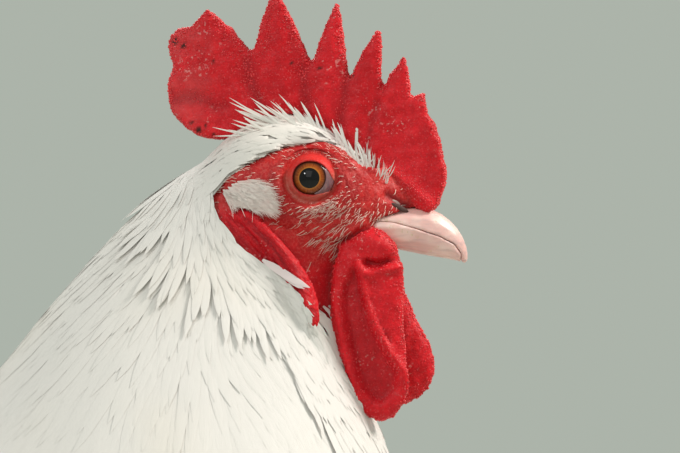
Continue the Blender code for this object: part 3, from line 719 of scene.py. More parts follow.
iris = Finish("eye_iris", Roughness=0.06, Specular_IOR_Level=0.26)
from_eye = iris.node("ShaderNodeMapping", {}, iris.place(), tuple(-value for value in (EYE.x, 0, EYE.z)))
flat_eye = iris.stretched(from_eye, (1.0, 0.0, 1.0))
outwards = iris.node("ShaderNodeVectorMath", {"operation": "LENGTH"}, flat_eye, out="Value")
spokes = iris.noise(iris.node("ShaderNodeVectorMath", {"operation": "NORMALIZE"}, flat_eye), 16.0, 3.0)
amber = iris.tint(spokes.between(0.3, 0.7), (0.19, 0.030, 0.004), (0.34, 0.080, 0.010))
amber = iris.tint(outwards.between(IRIS_RADIUS * 0.76, IRIS_RADIUS * 0.98), amber, (0.040, 0.010, 0.005))
amber = iris.tint((1 - outwards.between(PUPIL_RADIUS, PUPIL_RADIUS * 1.20)) * 0.7, amber, (0.50, 0.19, 0.03))
eye_white = iris.tint(outwards.between(IRIS_RADIUS, IRIS_RADIUS * 1.05), amber, (0.085, 0.036, 0.036))
beyond_pupil = outwards.between(PUPIL_RADIUS * 0.97, PUPIL_RADIUS * 1.02)
iris.feed(Base_Color=iris.tint(beyond_pupil, (0.004, 0.004, 0.005), eye_white))

third = Finish("eye_third_lid", Roughness=0.25, Subsurface_Weight=0.2, Subsurface_Scale=0.001)
veins = third.noise(third.stretched(third.place(), (1.0, 1.0, 0.3)), 900.0)
third.feed(Base_Color=third.tint(veins.between(0.35, 0.7), (0.17, 0.085, 0.10), (0.27, 0.14, 0.15)),
           Normal=third.bump(veins, 0.15, 0.0002))

HAW_ARC = (-0.1, 0.2, 5.0)                   # middle and radius of its edge, from the eye's centre
for tag, eye_side in (("R", -1), ("L", 1)):
    centre = Vector((EYE.x, eye_side * abs(EYE.y), EYE.z))
    bpy.ops.object.select_all(action="DESELECT")
    bpy.ops.mesh.primitive_uv_sphere_add(segments=64, ring_count=40, radius=EYEBALL, location=centre,
                                         rotation=(pi / 2, 0, 0))
    ball = bpy.context.object
    bpy.ops.object.transform_apply(location=True, rotation=True, scale=True)
    spots = points_of(ball.data)
    reach = np.linalg.norm((spots - np.array(centre))[:, (0, 2)], axis=1)
    front = np.sign(spots[:, 1] - centre.y) == eye_side
    spots[:, 1] += eye_side * front * DOME_HEIGHT * (1 - rise(reach, 0.0, IRIS_RADIUS * 1.05))
    spots[:, 1] = eye_side * np.minimum(eye_side * spots[:, 1], abs(EYE_LOW.y) + 0.0004)
    set_points(ball.data, spots)
    ball.name = ball.data.name = "eyeball_" + tag
    on_bird(ball, iris, "eye", "eye_" + tag)

    # The third lid: a thin sheet on the ball, from the front corner to the edge of the iris.
    bpy.ops.object.select_all(action="DESELECT")
    bpy.ops.mesh.primitive_grid_add(x_subdivisions=14, y_subdivisions=36, size=2)
    haw = bpy.context.object
    sheet = points_of(haw.data)
    out, turn = (sheet[:, 0] + 1) / 2, radians(-22) + sheet[:, 1] * radians(50)
    arc = HAW_ARC[2] + out * 2.2
    x, z = HAW_ARC[0] + arc * np.cos(turn), HAW_ARC[1] + arc * np.sin(turn)
    from_middle = np.hypot(x, z) * MM
    over = np.sqrt(np.maximum((EYEBALL + 0.0002) ** 2 - from_middle ** 2, (EYEBALL * 0.3) ** 2))
    set_points(haw.data, np.stack(
        (centre.x + x * MM, centre.y + eye_side * over, centre.z + z * MM), axis=1
    ))
    finish_with(haw, "SOLIDIFY", thickness=0.0002, offset=0.0)
    haw.name = haw.data.name = "third_lid_" + tag
    on_bird(haw, third, "eye")


# ------------------------------------------------------------------ beak, claws and spurs
# Horn, grown in one piece on the bone: pinkish white, a little translucent, with faint grey
# lengthwise streaks, and chipped yellowish where the edges of the beak wear on each other.
horn = Finish("beak_and_claw_horn", Specular_IOR_Level=0.4, Subsurface_Weight=0.18, Subsurface_Scale=0.003,
              Subsurface_Radius=(1.0, 0.6, 0.45))
at = horn.place()
grain = horn.noise(horn.stretched(at, (60.0, 420.0, 420.0)), 1.6, 4.0)
cloud = horn.noise(at, 130.0, 3.0)
tone = horn.tint(cloud.between(0.35, 0.68), (0.76, 0.460, 0.430), (0.84, 0.620, 0.570))
tone = horn.tint(grain.between(0.46, 0.66) * 0.40, tone, (0.52, 0.350, 0.350))
chips = horn.noise(at, 900.0, 2.0).between(0.60, 0.68) * horn.noise(at, 160.0).between(0.50, 0.62)
tone = horn.tint(chips * 0.55, tone, (0.66, 0.50, 0.30))
horn.feed(Base_Color=tone, Normal=horn.bump(grain * 0.5 + cloud * 0.3 - chips * 0.8, 0.35, 0.00035),
          Roughness=cloud * 0.16 + 0.26 + chips * 0.2)


beak_halves = [
    on_bird(rounded(copy_of(half + "_horn", half, swell=more), 0.00036, 9), horn, "beak_horn", half)
    for half, more in (("beak_upper", 0.0001), ("beak_lower", 0.0003))
]
CLAWS = [f"claw_{toe}_{tag}" for toe in ("middle", "inner", "outer", "hind") for tag in "RL"]
on_bird(rounded(copy_of("claws", *CLAWS, swell=0.0001), 0.00036, 3), horn, "claw_horn", *CLAWS)
on_bird(rounded(copy_of("spurs", "spur_R", "spur_L", swell=0.0001), 0.0004, 4), horn, "claw_horn",
        "spur_R", "spur_L")

# Nostrils: a slit under the comb's fold, half closed by a grey flap of softer horn. The slit is a dark lens
# laid into the skin: painted shade where the opening is.
skin_tree, beak_tree = tree_of(skin), tree_of(beak_halves[0])
NOSTRIL_LINE = ((25.4, -6.6), (30.6, -9.3))
flap_horn = Finish("nostril_flap", Roughness=0.42, Subsurface_Weight=0.1, Subsurface_Scale=0.001)
flap_cloud = flap_horn.noise(flap_horn.place(), 800.0)
flap_tone = flap_horn.tint(flap_cloud.between(0.35, 0.7), (0.34, 0.21, 0.19), (0.52, 0.38, 0.35))
flap_horn.feed(Base_Color=flap_tone, Normal=flap_horn.bump(flap_cloud, 0.3, 0.0002))
# Painted shade: the slit's near-black colour stands for the shade inside the nostril.
nostril_shade = Finish("nostril_slit_shade", Roughness=0.8)
nostril_shade.feed(Base_Color=nostril_shade.tint(nostril_shade.noise(nostril_shade.place(), 1500.0), (0.045, 0.020, 0.018), (0.10, 0.045, 0.040)))


def on_side(x_mm, z_mm, head_side):
    """The outermost place of the skin or beak at a place in the side view."""
    x, z = drawn([(x_mm, z_mm)])[0]
    hits = [tree.ray_cast(Vector((x, head_side * 0.06, z)), Vector((0, -head_side, 0)))[0]
            for tree in (skin_tree, beak_tree)]
    nearest = skin_tree.find_nearest(Vector((x, head_side * 0.01, z)))[0]
    return max([hit for hit in hits if hit] or [nearest], key=lambda hit: abs(hit.y))


for tag, head_side in (("R", -1), ("L", 1)):
    for kind, finish, drop, sizes, sink in (
        ("nostril_slit_shade", nostril_shade, -0.9, (0.0031, 0.0007, 0.0008), 0.0001),
        ("nostril_flap", flap_horn, 0.15, (0.0032, 0.0007, 0.0011), 0.0003),
    ):
        (ax, az), (bx, bz) = NOSTRIL_LINE
        start, end = on_side(ax, az + drop, head_side), on_side(bx, bz + drop, head_side)
        bpy.ops.object.select_all(action="DESELECT")
        bpy.ops.mesh.primitive_uv_sphere_add(segments=32, ring_count=16, radius=1.0)
        piece = bpy.context.object
        run = (end - start).normalized()
        outward = run.cross(Vector((0, 0, 1))).normalized()
        outward *= 1 if outward.y * head_side > 0 else -1
        turn = Matrix((run, outward, run.cross(outward))).transposed()
        middle = (start + end) / 2 - outward * sink
        piece.data.transform(Matrix.Translation(middle) @ turn.to_4x4() @ Matrix.Diagonal((*sizes, 1)))
        if turn.determinant() < 0:
            piece.data.flip_normals()
        piece.name = piece.data.name = f"{kind}_{tag}"
        on_bird(piece, finish, "beak_horn")

# Granules: the comb, its fold over the nostril and the wattles' front edges are set with tiny
# moist beads of skin, thickest along every edge.
beads_at = points_of(skin.data)
beads_out = points_of(skin.data, "normal")
rounds = np.random.default_rng(5)
edge = 1 - np.abs(beads_out[:, 1])
x_mm, z_mm = by_head(beads_at[:, 0], beads_at[:, 2])
thin = np.where(z_mm > 12, 1 - rise(np.abs(beads_at[:, 1]), 0.0014, 0.0030), 0.0)
likely = flush * (0.015 + 2.6 * edge ** 1.6 + 1.6 * thin)
likely *= np.where(z_mm > 0, 1.0, rise(x_mm, 8.0, 24.0) + 0.15)
likely += flush * np.exp(-(far_from_line(flat, drawn(HEAD_FOLDS[0][0])) / 0.0022) ** 2) * 3.0
likely *= np.where((x_mm < 5) & (z_mm < 0), 0.03, 1.0)
BEADS = 9200
chosen = rounds.choice(len(likely), size=BEADS, replace=False, p=likely / likely.sum())
bpy.ops.object.select_all(action="DESELECT")
bpy.ops.mesh.primitive_ico_sphere_add(subdivisions=1, radius=1.0)
bead = bpy.context.object
bead_points = points_of(bead.data)
bead_faces = np.array([tuple(polygon.vertices) for polygon in bead.data.polygons])
bpy.data.objects.remove(bead)
radius = rounds.uniform(0.00030, 0.00055, BEADS) * np.where((edge + thin)[chosen] > 0.35, 1.0, 0.66)
aside = rounds.normal(0, 0.00022, (BEADS, 3))
aside -= beads_out[chosen] * (aside * beads_out[chosen]).sum(axis=1)[:, None]
centres = beads_at[chosen] + aside - beads_out[chosen] * (radius * 0.40)[:, None]
points = centres[:, None] + bead_points[None] * radius[:, None, None]
faces = bead_faces[None] + len(bead_points) * np.arange(BEADS)[:, None, None]
data = bpy.data.meshes.new("comb_granules")
data.from_pydata(points.reshape(-1, 3), [], faces.reshape(-1, 3).tolist())
moist = Finish("granule_red", Roughness=0.30, Specular_IOR_Level=0.5, Subsurface_Weight=0.2,
               Subsurface_Scale=0.0015, Subsurface_Radius=(1.0, 0.22, 0.12))
speck = moist.noise(moist.place(), 1400.0, 2.0).between(0.4, 0.66)
wash = moist.noise(moist.place(), 90.0, 3.0).between(0.35, 0.68)
bead_red = moist.tint(wash, (0.58, 0.006, 0.014), (0.74, 0.016, 0.026))
moist.feed(Base_Color=moist.tint(speck * 0.12, bead_red, (0.84, 0.20, 0.20)))
on_bird(placed("comb_granules", data), moist, "red_flesh")

# Scutes: overlapping horny plates down the front of each shank and along the top of each toe.
leg_form = copy_of("leg_form", *LEG_SKIN, swell=0.0002)
rounded(leg_form, 0.0011, 5)
leg_tree = tree_of(leg_form)
bpy.data.objects.remove(leg_form)
bpy.ops.object.select_all(action="DESELECT")
bpy.ops.mesh.primitive_cube_add(size=2)
plate = bpy.context.object
finish_with(plate, "SUBSURF", levels=2, render_levels=2, subdivision_type="SIMPLE")
finish_with(plate, "BEVEL", width=0.25, segments=1, limit_method="ANGLE")
plate_points = points_of(plate.data)
plate_faces = [tuple(polygon.vertices) for polygon in plate.data.polygons]
bpy.data.objects.remove(plate)
scutes = bmesh.new()


SCUTE_ROWS, SCUTE_THICK = 24, 0.00042
SCUTES_ROUND = (                            # degrees round the shank, step down, wide, long, thick
    (-31, -0.0009, 0.0038, 0.0029, SCUTE_THICK), (31, 0.0009, 0.0038, 0.0029, SCUTE_THICK),
    (-88, 0, 0.0034, 0.0026, 0.00030), (88, 0, 0.0034, 0.0026, 0.00030), (180, 0, 0.0034, 0.0026, 0.00030),
)


def scute(middle, down, wide, long, thick=SCUTE_THICK):
    """One plate laid on the leg's skin, its lower edge lifted over the next."""
    spot, normal, _, _ = leg_tree.find_nearest(middle)
    down = (down - normal * down.dot(normal)).normalized()
    beside = normal.cross(down)
    made = []
    for u, v, w in plate_points:
        round_off = 1 - 0.16 * v * v
        flat_spot = spot + beside * (u * wide * round_off) + down * (v * long * (1 - 0.22 * u * u))
        on_skin, out, _, _ = leg_tree.find_nearest(flat_spot)
        crown = 1 - 0.35 * max(abs(u), abs(v)) ** 3
        made.append(scutes.verts.new(on_skin + out * (thick * (0.35 + 0.40 * w * crown + 0.30 * v))))
    for face in plate_faces:
        scutes.faces.new([made[i] for i in face])


FOOT_PLACES = {tag: (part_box("foot_" + tag)[0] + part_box("foot_" + tag)[1]) / 2 for tag in "RL"}
for tag, leg_side in (("R", -1), ("L", 1)):
    low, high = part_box("shank_" + tag)
    hock = Vector((low.x + 0.0085, leg_side * 0.0540, high.z - 0.010))
    ankle = Vector((FOOT_PLACES[tag].x - 0.003, leg_side * 0.052, 0.016))
    down = (ankle - hock).normalized()
    forward = Vector((0, leg_side, 0)).cross(down) * leg_side
    forward = forward if forward.x > 0 else -forward
    beside = down.cross(forward)
    for i in range(SCUTE_ROWS):
        spot = hock.lerp(ankle, (i + 0.5) / SCUTE_ROWS)
        for turn, stagger, wide, long, thick in SCUTES_ROUND:
            out = forward * cos(radians(turn)) + beside * sin(radians(turn))
            scute(spot + out * 0.010 + down * stagger, down, wide, long, thick)
    for toe, plates in (("middle", 17), ("inner", 13), ("outer", 14), ("hind", 8)):
        low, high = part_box(f"claw_{toe}_{tag}")
        root, end = FOOT_PLACES[tag], (low + high) / 2
        run = Vector((end.x - root.x, end.y - root.y, 0)).normalized()
        reach = (Vector((end.x, end.y, 0)) - Vector((root.x, root.y, 0))).length - 0.008
        for i in range(plates):
            away = 0.006 + (reach - 0.006) * (i + 0.5) / plates
            scute(Vector((root.x, root.y, 0.014)) + run * away, run, 0.0041 - 0.0012 * i / plates,
                  (reach - 0.006) / plates * 0.66)
data = bpy.data.meshes.new("leg_scutes")
bmesh.ops.recalc_face_normals(scutes, faces=scutes.faces)
scutes.to_mesh(data)
scutes.free()
scale_horn = Finish("leg_scute_horn", Specular_IOR_Level=0.35, Subsurface_Weight=0.12, Subsurface_Scale=0.002)
at = scale_horn.place()
patch = scale_horn.noise(at, 240.0, 3.0)
rub = scale_horn.noise(scale_horn.stretched(at, (1.0, 1.0, 0.25)), 1600.0, 2.0)
tone = scale_horn.tint(patch.between(0.34, 0.66), (0.74, 0.560, 0.470), (0.87, 0.745, 0.650))
tone = scale_horn.tint(rub.between(0.5, 0.7) * 0.3, tone, (0.62, 0.470, 0.400))
scale_horn.feed(Base_Color=tone, Roughness=patch * 0.2 + 0.36,
                Normal=scale_horn.bump(rub + patch * 0.4, 0.35, 0.0002))
on_bird(placed("leg_scutes", data), scale_horn, "leg_skin")


# ------------------------------------------------------------------ the feathers' ground
# Feathers grow in tracts.  Each one leaves the skin, lies back along the body over the next, and
# ends at the outside of the coat.  The ground is the skin's own shape, without the bare parts, and
# it carries the unwrap that gives each feather its place on the coat's colour map.
for polygon in coat_base.data.polygons:
    polygon.use_smooth = True
only(coat_base)
bpy.ops.object.mode_set(mode="EDIT")
bpy.ops.mesh.select_all(action="SELECT")
bpy.ops.uv.smart_project(angle_limit=radians(66), island_margin=0.002)
bpy.ops.object.mode_set(mode="OBJECT")
ground_tree = tree_of(coat_base)
ground_points = [vertex.co.copy() for vertex in coat_base.data.vertices]
ground_normals = [vertex.normal.copy() for vertex in coat_base.data.vertices]
ground_faces = [tuple(polygon.vertices) for polygon in coat_base.data.polygons]
unwrap = [Vector((*corner.uv, 0)) for corner in coat_base.data.uv_layers[0].data]
ground_map = [[unwrap[i] for i in polygon.loop_indices] for polygon in coat_base.data.polygons]
bpy.data.objects.remove(coat_base)


def ground(point):
    """The nearest place on the ground, its smooth normal, and its place on the unwrap."""
    spot, _, face, _ = ground_tree.find_nearest(point)
    corners = ground_faces[face]
    shares = poly_3d_calc([ground_points[i] for i in corners], spot)
    normal, chart = Vector((0, 0, 0)), Vector((0, 0, 0))
    for share, i, spread in zip(shares, corners, ground_map[face]):
        normal += ground_normals[i] * share
        chart += spread * share
    return spot, normal.normalized(), chart


# Which way feathers lie.  The body's feathers run back and a little down, the breast's and thighs'
# run down, and those over the tail's root run up it.  On the head and neck they stream back over
# the crown and turn down round the ear: (x, z, degrees above straight ahead), in the side view.
STREAM = np.array((
    (20, 2, 172), (8, 12, 170), (-5, 15, 179), (-15, 13, 188), (-14, 6, 196), (-25, 9, 204), (-30, 11, 207),
    (-45, -1, 218), (-70, -24, 224), (-92, -53, 232), (-27, -3, 234), (-36, -14, 243), (-57, -32, 241),
    (-33, -37, 261), (-60, -60, 248), (-26, -13, 260), (-21, -24, 281), (-12, -32, 296), (-10, -58, 296),
    (0, -47, 303), (10, -66, 300), (20, -76, 297), (-40, -75, 262), (-10, -85, 284), (-75, -85, 244),
    (10, -100, 282), (-50, -110, 256),
))
STREAM_NEAR = 7.0
NAPE = HEAD_MIDDLE + Vector((-0.025, 0, 0.0114))
HACKLE_ENDS = (0.168, 0.208)               # from the nape
TAIL_FROM = (-0.045, -0.075)               # along the body
BODY_LIE, BREAST_LIE = Vector((-1, 0, -0.30)), Vector((-0.40, 0, -1))
THIGH_LIE, TAIL_LIE = Vector((-0.35, 0, -1)), Vector((-0.78, 0, 0.62))
stream_ways = np.stack((np.cos(np.radians(STREAM[:, 2])), np.sin(np.radians(STREAM[:, 2]))), axis=1)


def step(value, low, high):
    share = min(max((value - low) / (high - low), 0.0), 1.0)
    return share * share * (3 - 2 * share)


def lie(point, normal):
    """The direction of the feathers at a place on the ground."""
    hackle = 1 - step((point - NAPE).length, *HACKLE_ENDS)
    x, z = by_head(point.x, point.z)
    nearness = 1 / ((STREAM[:, 0] - x) ** 2 + (STREAM[:, 1] - z) ** 2 + STREAM_NEAR ** 2) ** 2
    turned = nearness @ stream_ways
    stream = Vector((turned[0], 0, turned[1])).normalized()
    way = BODY_LIE.lerp(BREAST_LIE, step(point.x, 0.17, 0.25))
    way = way.lerp(THIGH_LIE, 1 - step(point.z, 0.165, 0.215))
    way = way.lerp(TAIL_LIE, step(-point.x, -TAIL_FROM[0], -TAIL_FROM[1]) * step(point.z, 0.335, 0.375))
    way = way.normalized().lerp(stream, hackle)
    way -= normal * way.dot(normal)
    return way.normalized()


# ------------------------------------------------------------------ one feather of each kind
# Each kind is modelled once, as a closed blade one unit long and two wide, cut across at its
# stations.  Laying it bends a copy along the ground and gives it its own length, width and tilt.
class Blade:
    """A feather's blank: its stations, and for each point the station, place across and side."""

    def __init__(self, name, edges, widths, thickness, camber=0.0):
        self.widths, self.thickness, self.camber = np.array(widths), thickness, camber
        self.stations = np.linspace(0, 1, len(widths)) ** 0.9
        bpy.ops.object.select_all(action="DESELECT")
        bpy.ops.mesh.primitive_cylinder_add(vertices=edges, radius=1, depth=1, location=(0, 0, 0.5))
        blank = bpy.context.object
        bpy.ops.object.transform_apply(location=True)
        bpy.ops.object.mode_set(mode="EDIT")
        for station in self.stations[1:-1]:
            bpy.ops.mesh.select_all(action="SELECT")
            bpy.ops.mesh.bisect(plane_co=(0, 0, station), plane_no=(0, 0, 1))
        bpy.ops.object.mode_set(mode="OBJECT")
        points = points_of(blank.data)
        turned = points @ np.array(((0, 1, 0), (1, 0, 0), (0, 0, 1)))      # widest at the edges
        self.across, self.through = turned[:, 0], turned[:, 1]
        self.ring = np.abs(points[:, 2:3] - self.stations).argmin(axis=1)
        self.sizes = [len(polygon.vertices) for polygon in blank.data.polygons]
        self.loops = [i for polygon in blank.data.polygons for i in polygon.vertices]
        bpy.data.objects.remove(blank)


HACKLE = Blade("hackle", 4, (0.35, 0.85, 1.0, 1.0, 0.92, 0.70, 0.08), 0.00009)
CONTOUR = Blade("contour", 8, (0.18, 0.62, 0.92, 1.0, 0.90, 0.60, 0.14), 0.00020, camber=0.10)
DOWNY = Blade("downy", 4, (0.5, 1.0, 0.85, 0.55, 0.08), 0.00010)
UNDER = Blade("under", 4, (0.4, 1.0, 0.9, 0.3), 0.00012)
BRISTLE = Blade("bristle", 4, (1.0, 0.8, 0.15), 0.00006)


PATCH_WIDE, PATCH_LONG = 0.0014, 0.003       # a feather's patch on the colour map: half its width, its length


def blades(name, blade, rows):
    """Copies of a blank as one mesh, each from its (path, normals, place on the unwrap, width, shade)."""
    paths, normals, charts, widths, shades = (np.array(part) for part in zip(*rows))
    count = len(rows)
    along = np.gradient(paths, axis=1)
    along /= np.linalg.norm(along, axis=2, keepdims=True) + 1e-12
    beside = np.cross(along, normals)
    beside /= np.linalg.norm(beside, axis=2, keepdims=True) + 1e-12
    above = np.cross(beside, along)
    ring = blade.ring
    half = blade.widths[None, :] * widths[:, None] / 2
    half = half[:, ring]
    sag = blade.camber * half * (blade.across ** 2)[None, :]
    thick = blade.thickness * np.minimum(1.0, half / 0.0006) * blade.through[None, :]
    points = paths[:, ring] + beside[:, ring] * (half * blade.across)[..., None]
    points += above[:, ring] * (thick - sag)[..., None]
    each = len(ring)
    loops = (np.array(blade.loops)[None, :] + each * np.arange(count)[:, None]).ravel()
    sizes = np.tile(blade.sizes, count)
    data = bpy.data.meshes.new(name)
    data.vertices.add(count * each)
    data.loops.add(len(loops))
    data.polygons.add(len(sizes))
    data.vertices.foreach_set("co", points.ravel())
    data.loops.foreach_set("vertex_index", loops.astype(np.int32))
    data.polygons.foreach_set("loop_start", np.concatenate(([0], np.cumsum(sizes)[:-1])).astype(np.int32))
    data.polygons.foreach_set("use_smooth", np.ones(len(sizes), dtype=bool))
    data.update(calc_edges=True)
    ends = np.empty(len(data.edges) * 2, dtype=np.int32)
    data.edges.foreach_get("vertices", ends)
    ends = ends.reshape(-1, 2)
    rim = np.abs(np.tile(blade.across, count)[ends]).min(axis=1) > 0.99
    first, second = np.tile(ring, count)[ends].T
    rim |= (first == second) & ((first == 0) | (first == len(blade.widths) - 1))
    data.attributes.new("sharp_edge", "BOOLEAN", "EDGE").data.foreach_set("value", rim)
    patch = np.stack((blade.across * PATCH_WIDE, (blade.stations[ring] - 0.5) * PATCH_LONG), 1)
    chart = charts[:, None, :] + patch
    data.uv_layers.new(name="OFBake").data.foreach_set("uv", chart.reshape(-1, 2)[loops].ravel())
    vane = np.zeros((count, each, 3))
    vane[..., 0] = blade.across
    vane[..., 1] = blade.stations[ring]
    vane[..., 2] = shades[:, None]
    data.attributes.new("vane", "FLOAT_VECTOR", "POINT").data.foreach_set("vector", vane.ravel())
    return placed(name, data)


# Feathers are white, with a faint cream cast in patches and a slightly greyer root.  Their barbs
# show as fine lines: along the silky ones, and aslant from the shaft on the broad ones.
def feather_finish(name, lines_along, slant, lines_across, relief):
    made = Finish(name, Roughness=0.58, Specular_IOR_Level=0.22, Sheen_Weight=0.15, Sheen_Roughness=0.4)
    vane = made.node("ShaderNodeAttribute", {"attribute_name": "vane"}, out="Vector")
    across, along, chance = (made.axis(vane, letter) for letter in "XYZ")
    from_shaft = made.node("ShaderNodeMath", {"operation": "ABSOLUTE"}, across)
    line = made.node("ShaderNodeCombineXYZ", None, along * lines_along - from_shaft * slant,
                     across * lines_across, chance * 120.0)
    barbs = made.noise(line, 1.0, 2.0)
    cast = made.noise(made.place(), 18.0, 2.0).between(0.42, 0.68)
    white = made.tint(cast * 0.6, (0.748, 0.714, 0.694), (0.782, 0.722, 0.660))
    white = made.tint(chance * 0.08, white, (0.70, 0.67, 0.65))
    white = made.tint(barbs.between(0.40, 0.62) * 0.12, white, (0.62, 0.59, 0.56))
    white = made.tint((1 - along.between(0.0, 0.30)) * 0.12, white, (0.64, 0.60, 0.56))
    made.feed(Base_Color=white, Normal=made.bump(barbs, 0.3, relief))
    return made


plume = feather_finish("silky_feather", 3.6, 0.0, 27.0, 0.00015)
contour = feather_finish("contour_feather", 75.0, 20.0, 1.5, 0.00030)


def feathered(name, blade, rows, finish=plume, slot="white_feather", *stands_for):
    return on_bird(blades(name, blade, rows), finish, slot, *stands_for)


# ------------------------------------------------------------------ feather tracts
chances = np.random.default_rng(11)
triangles = np.array([(face[0], *pair) for face in ground_faces for pair in zip(face[1:], face[2:])])
corner = np.array([tuple(point) for point in ground_points])[triangles]
triangle_area = np.linalg.norm(np.cross(corner[:, 1] - corner[:, 0], corner[:, 2] - corner[:, 0]), axis=1) / 2
BODY_AREA = float(triangle_area.sum())


TRIES = 3.2                                 # for each root that there is room for


def sown(spacing, allowed):
    """Roots scattered over the ground where allowed() says so, none closer than the spacing."""
    wanted = int(TRIES * BODY_AREA / spacing ** 2)
    middle = corner.mean(axis=1)
    share = np.array([allowed(*spot) for spot in middle], dtype=float) * triangle_area
    wanted = int(wanted * share.sum() / BODY_AREA)
    picked = chances.choice(len(share), size=wanted, p=share / share.sum())
    u, v = chances.random((2, wanted))
    over = u + v > 1
    u[over], v[over] = 1 - u[over], 1 - v[over]
    first, second, third = corner[picked].transpose(1, 0, 2)
    spots = first + (second - first) * u[:, None] + (third - first) * v[:, None]
    taken, roots = {}, []
    for spot in spots:
        if not allowed(*spot):
            continue
        key = tuple((spot // spacing).astype(int))
        around = (taken.get((key[0] + i, key[1] + j, key[2] + k))
                  for i in (-1, 0, 1) for j in (-1, 0, 1) for k in (-1, 0, 1))
        if all(other is None or ((other - spot) ** 2).sum() > spacing ** 2 for other in around):
            taken[key] = spot
            roots.append(Vector(spot))
    return roots


LEAVES_SKIN = 0.05                          # a low power: up quickly at the root, then close along the coat


def taut(path, upright, stations):
    """A long feather bridges a hollow that it crosses, and doesn't dip into it."""
    for i in range(1, len(path) - 1):
        bridge = path[0].lerp(path[-1], stations[i])
        if (bridge - path[i]).dot(upright[i]) > 0:
            path[i] = path[i].lerp(bridge, 0.85)


def laid(name, blade, roots, length, width, rise_from, rise_to, stray=4.0, pieces=1, way=lie, loft=0.015,
         on=ground, depth=coat_depth, finish=plume):
    """Lays a feather from each root.  length and width are functions of the root's place."""
    rows = []
    for root in roots:
        spot, normal, chart = on(root)
        long = length(root) * chances.uniform(0.86, 1.12)
        turn = radians(chances.normal(0, stray))
        lift = chances.uniform(1 - loft, 1.0)
        path, upright = [], []
        for i, station in enumerate(blade.stations):
            if i:
                spot, normal, _ = on(spot + ahead * (station - blade.stations[i - 1]) * long)
            high = float(depth(spot)) * (rise_from + (rise_to * lift - rise_from) * station ** LEAVES_SKIN)
            path.append(spot + normal * high)
            upright.append(normal)
            ahead = way(spot, normal)
            ahead = ahead * cos(turn) + normal.cross(ahead) * sin(turn)
        if long > 0.03:
            taut(path, upright, blade.stations)
        rows.append((path, upright, chart.xy, width(root) * chances.uniform(0.85, 1.15), chances.random()))
    share = -(-len(roots) // pieces)
    labels = [name] if pieces == 1 else [f"{name}_{i + 1}" for i in range(pieces)]
    return [feathered(label, blade, rows[i * share:(i + 1) * share], finish)
            for i, label in enumerate(labels)]


def blade_from(root, way, long, droop, outwards, blade):
    """The line of a feather that stands free, bowed towards droop."""
    path = []
    for station in blade.stations:
        path.append(root + way * (long * station) + droop * (long * station ** 2))
    return path, [outwards] * len(path)


def from_nape(point):
    return (Vector(point) - NAPE).length


def bare_here(x, z):
    return z > 0.40 and inside(BARE_FACE, *by_head(x, z))


# Neck hackle: long, narrow, silky feathers in a smooth cape, short on the crown.
HACKLE_LONG = 0.054


def hackle_here(x, y, z):
    return not bare_here(x, z) and from_nape((x, y, z)) < 0.182 and z > 0.30


# Beneath it lie short broad under-feathers, which keep the light out of the gaps.
laid("under_hackle", UNDER, sown(0.0034, hackle_here),
     length=lambda root: 0.005 + 0.011 * step(from_nape(root), 0.020, 0.085),
     width=lambda root: 0.004 + 0.004 * step(from_nape(root), 0.020, 0.085),
     rise_from=0.55, rise_to=0.88, stray=8.0)
laid("neck_hackle", HACKLE, sorted(sown(0.0018, hackle_here), key=from_nape),
     length=lambda root: (0.013 + (HACKLE_LONG - 0.013) * step(from_nape(root), 0.020, 0.085)
                          + 0.024 * step(from_nape(root), 0.125, 0.165)),
     width=lambda root: 0.0019 + 0.0024 * step(from_nape(root), 0.020, 0.085),
     rise_from=0.0, rise_to=0.98, stray=1.5, pieces=4)
# Along the ear lobe and the throat a last row overlaps the bare skin in one smooth edge:
# (x, z) along that edge, in millimetres.
CAPE_EDGE = (
    (-28.8, -2.0), (-27.6, -8.0), (-25.0, -13.4), (-20.8, -18.8), (-14.2, -24.4), (-7.2, -29.6),
    (-1.6, -35.0), (2.4, -41.0), (6.0, -48.2), (9.6, -55.0), (13.6, -62.0), (18.6, -70.0), (23.4, -80.0),
)
CAPE_FEATHERS, CAPE_BREADTH = 520, 10.0


def outermost(x, z, head_side):
    """The point furthest out, on the skin or on the coat, at a place in the side view, and its normal."""
    start, inwards = Vector((x, head_side * 0.08, z)), Vector((0, -head_side, 0))
    hits = [tree.ray_cast(start, inwards)[:2] for tree in (skin_tree, coat_tree)]
    hits = [hit for hit in hits if hit[0]] or [coat_tree.find_nearest(Vector((x, head_side * 0.002, z)))[:2]]
    return max(hits, key=lambda hit: abs(hit[0].y))


def over_skin(root, way, long, head_side, lift, blade, bow=0.0):
    """The line of a feather laid over whatever is outermost, from a place in the side view."""
    path, outwards = [], Vector((0, 0, 0))
    aside = Vector((-way.y, way.x))
    for station in blade.stations:
        spot = root + way * (long * station) + aside * (bow * long * station ** 2)
        hit, normal = outermost(spot.x, spot.y, head_side)
        outwards += normal
        path.append(hit + (normal + Vector((0, head_side, 0))).normalized() * (lift * (0.3 + station)))
    for _ in range(2):
        path[1:-1] = [(a + b * 2 + c) / 4 for a, b, c in zip(path, path[1:], path[2:])]
    return path, [outwards.normalized()] * len(path)


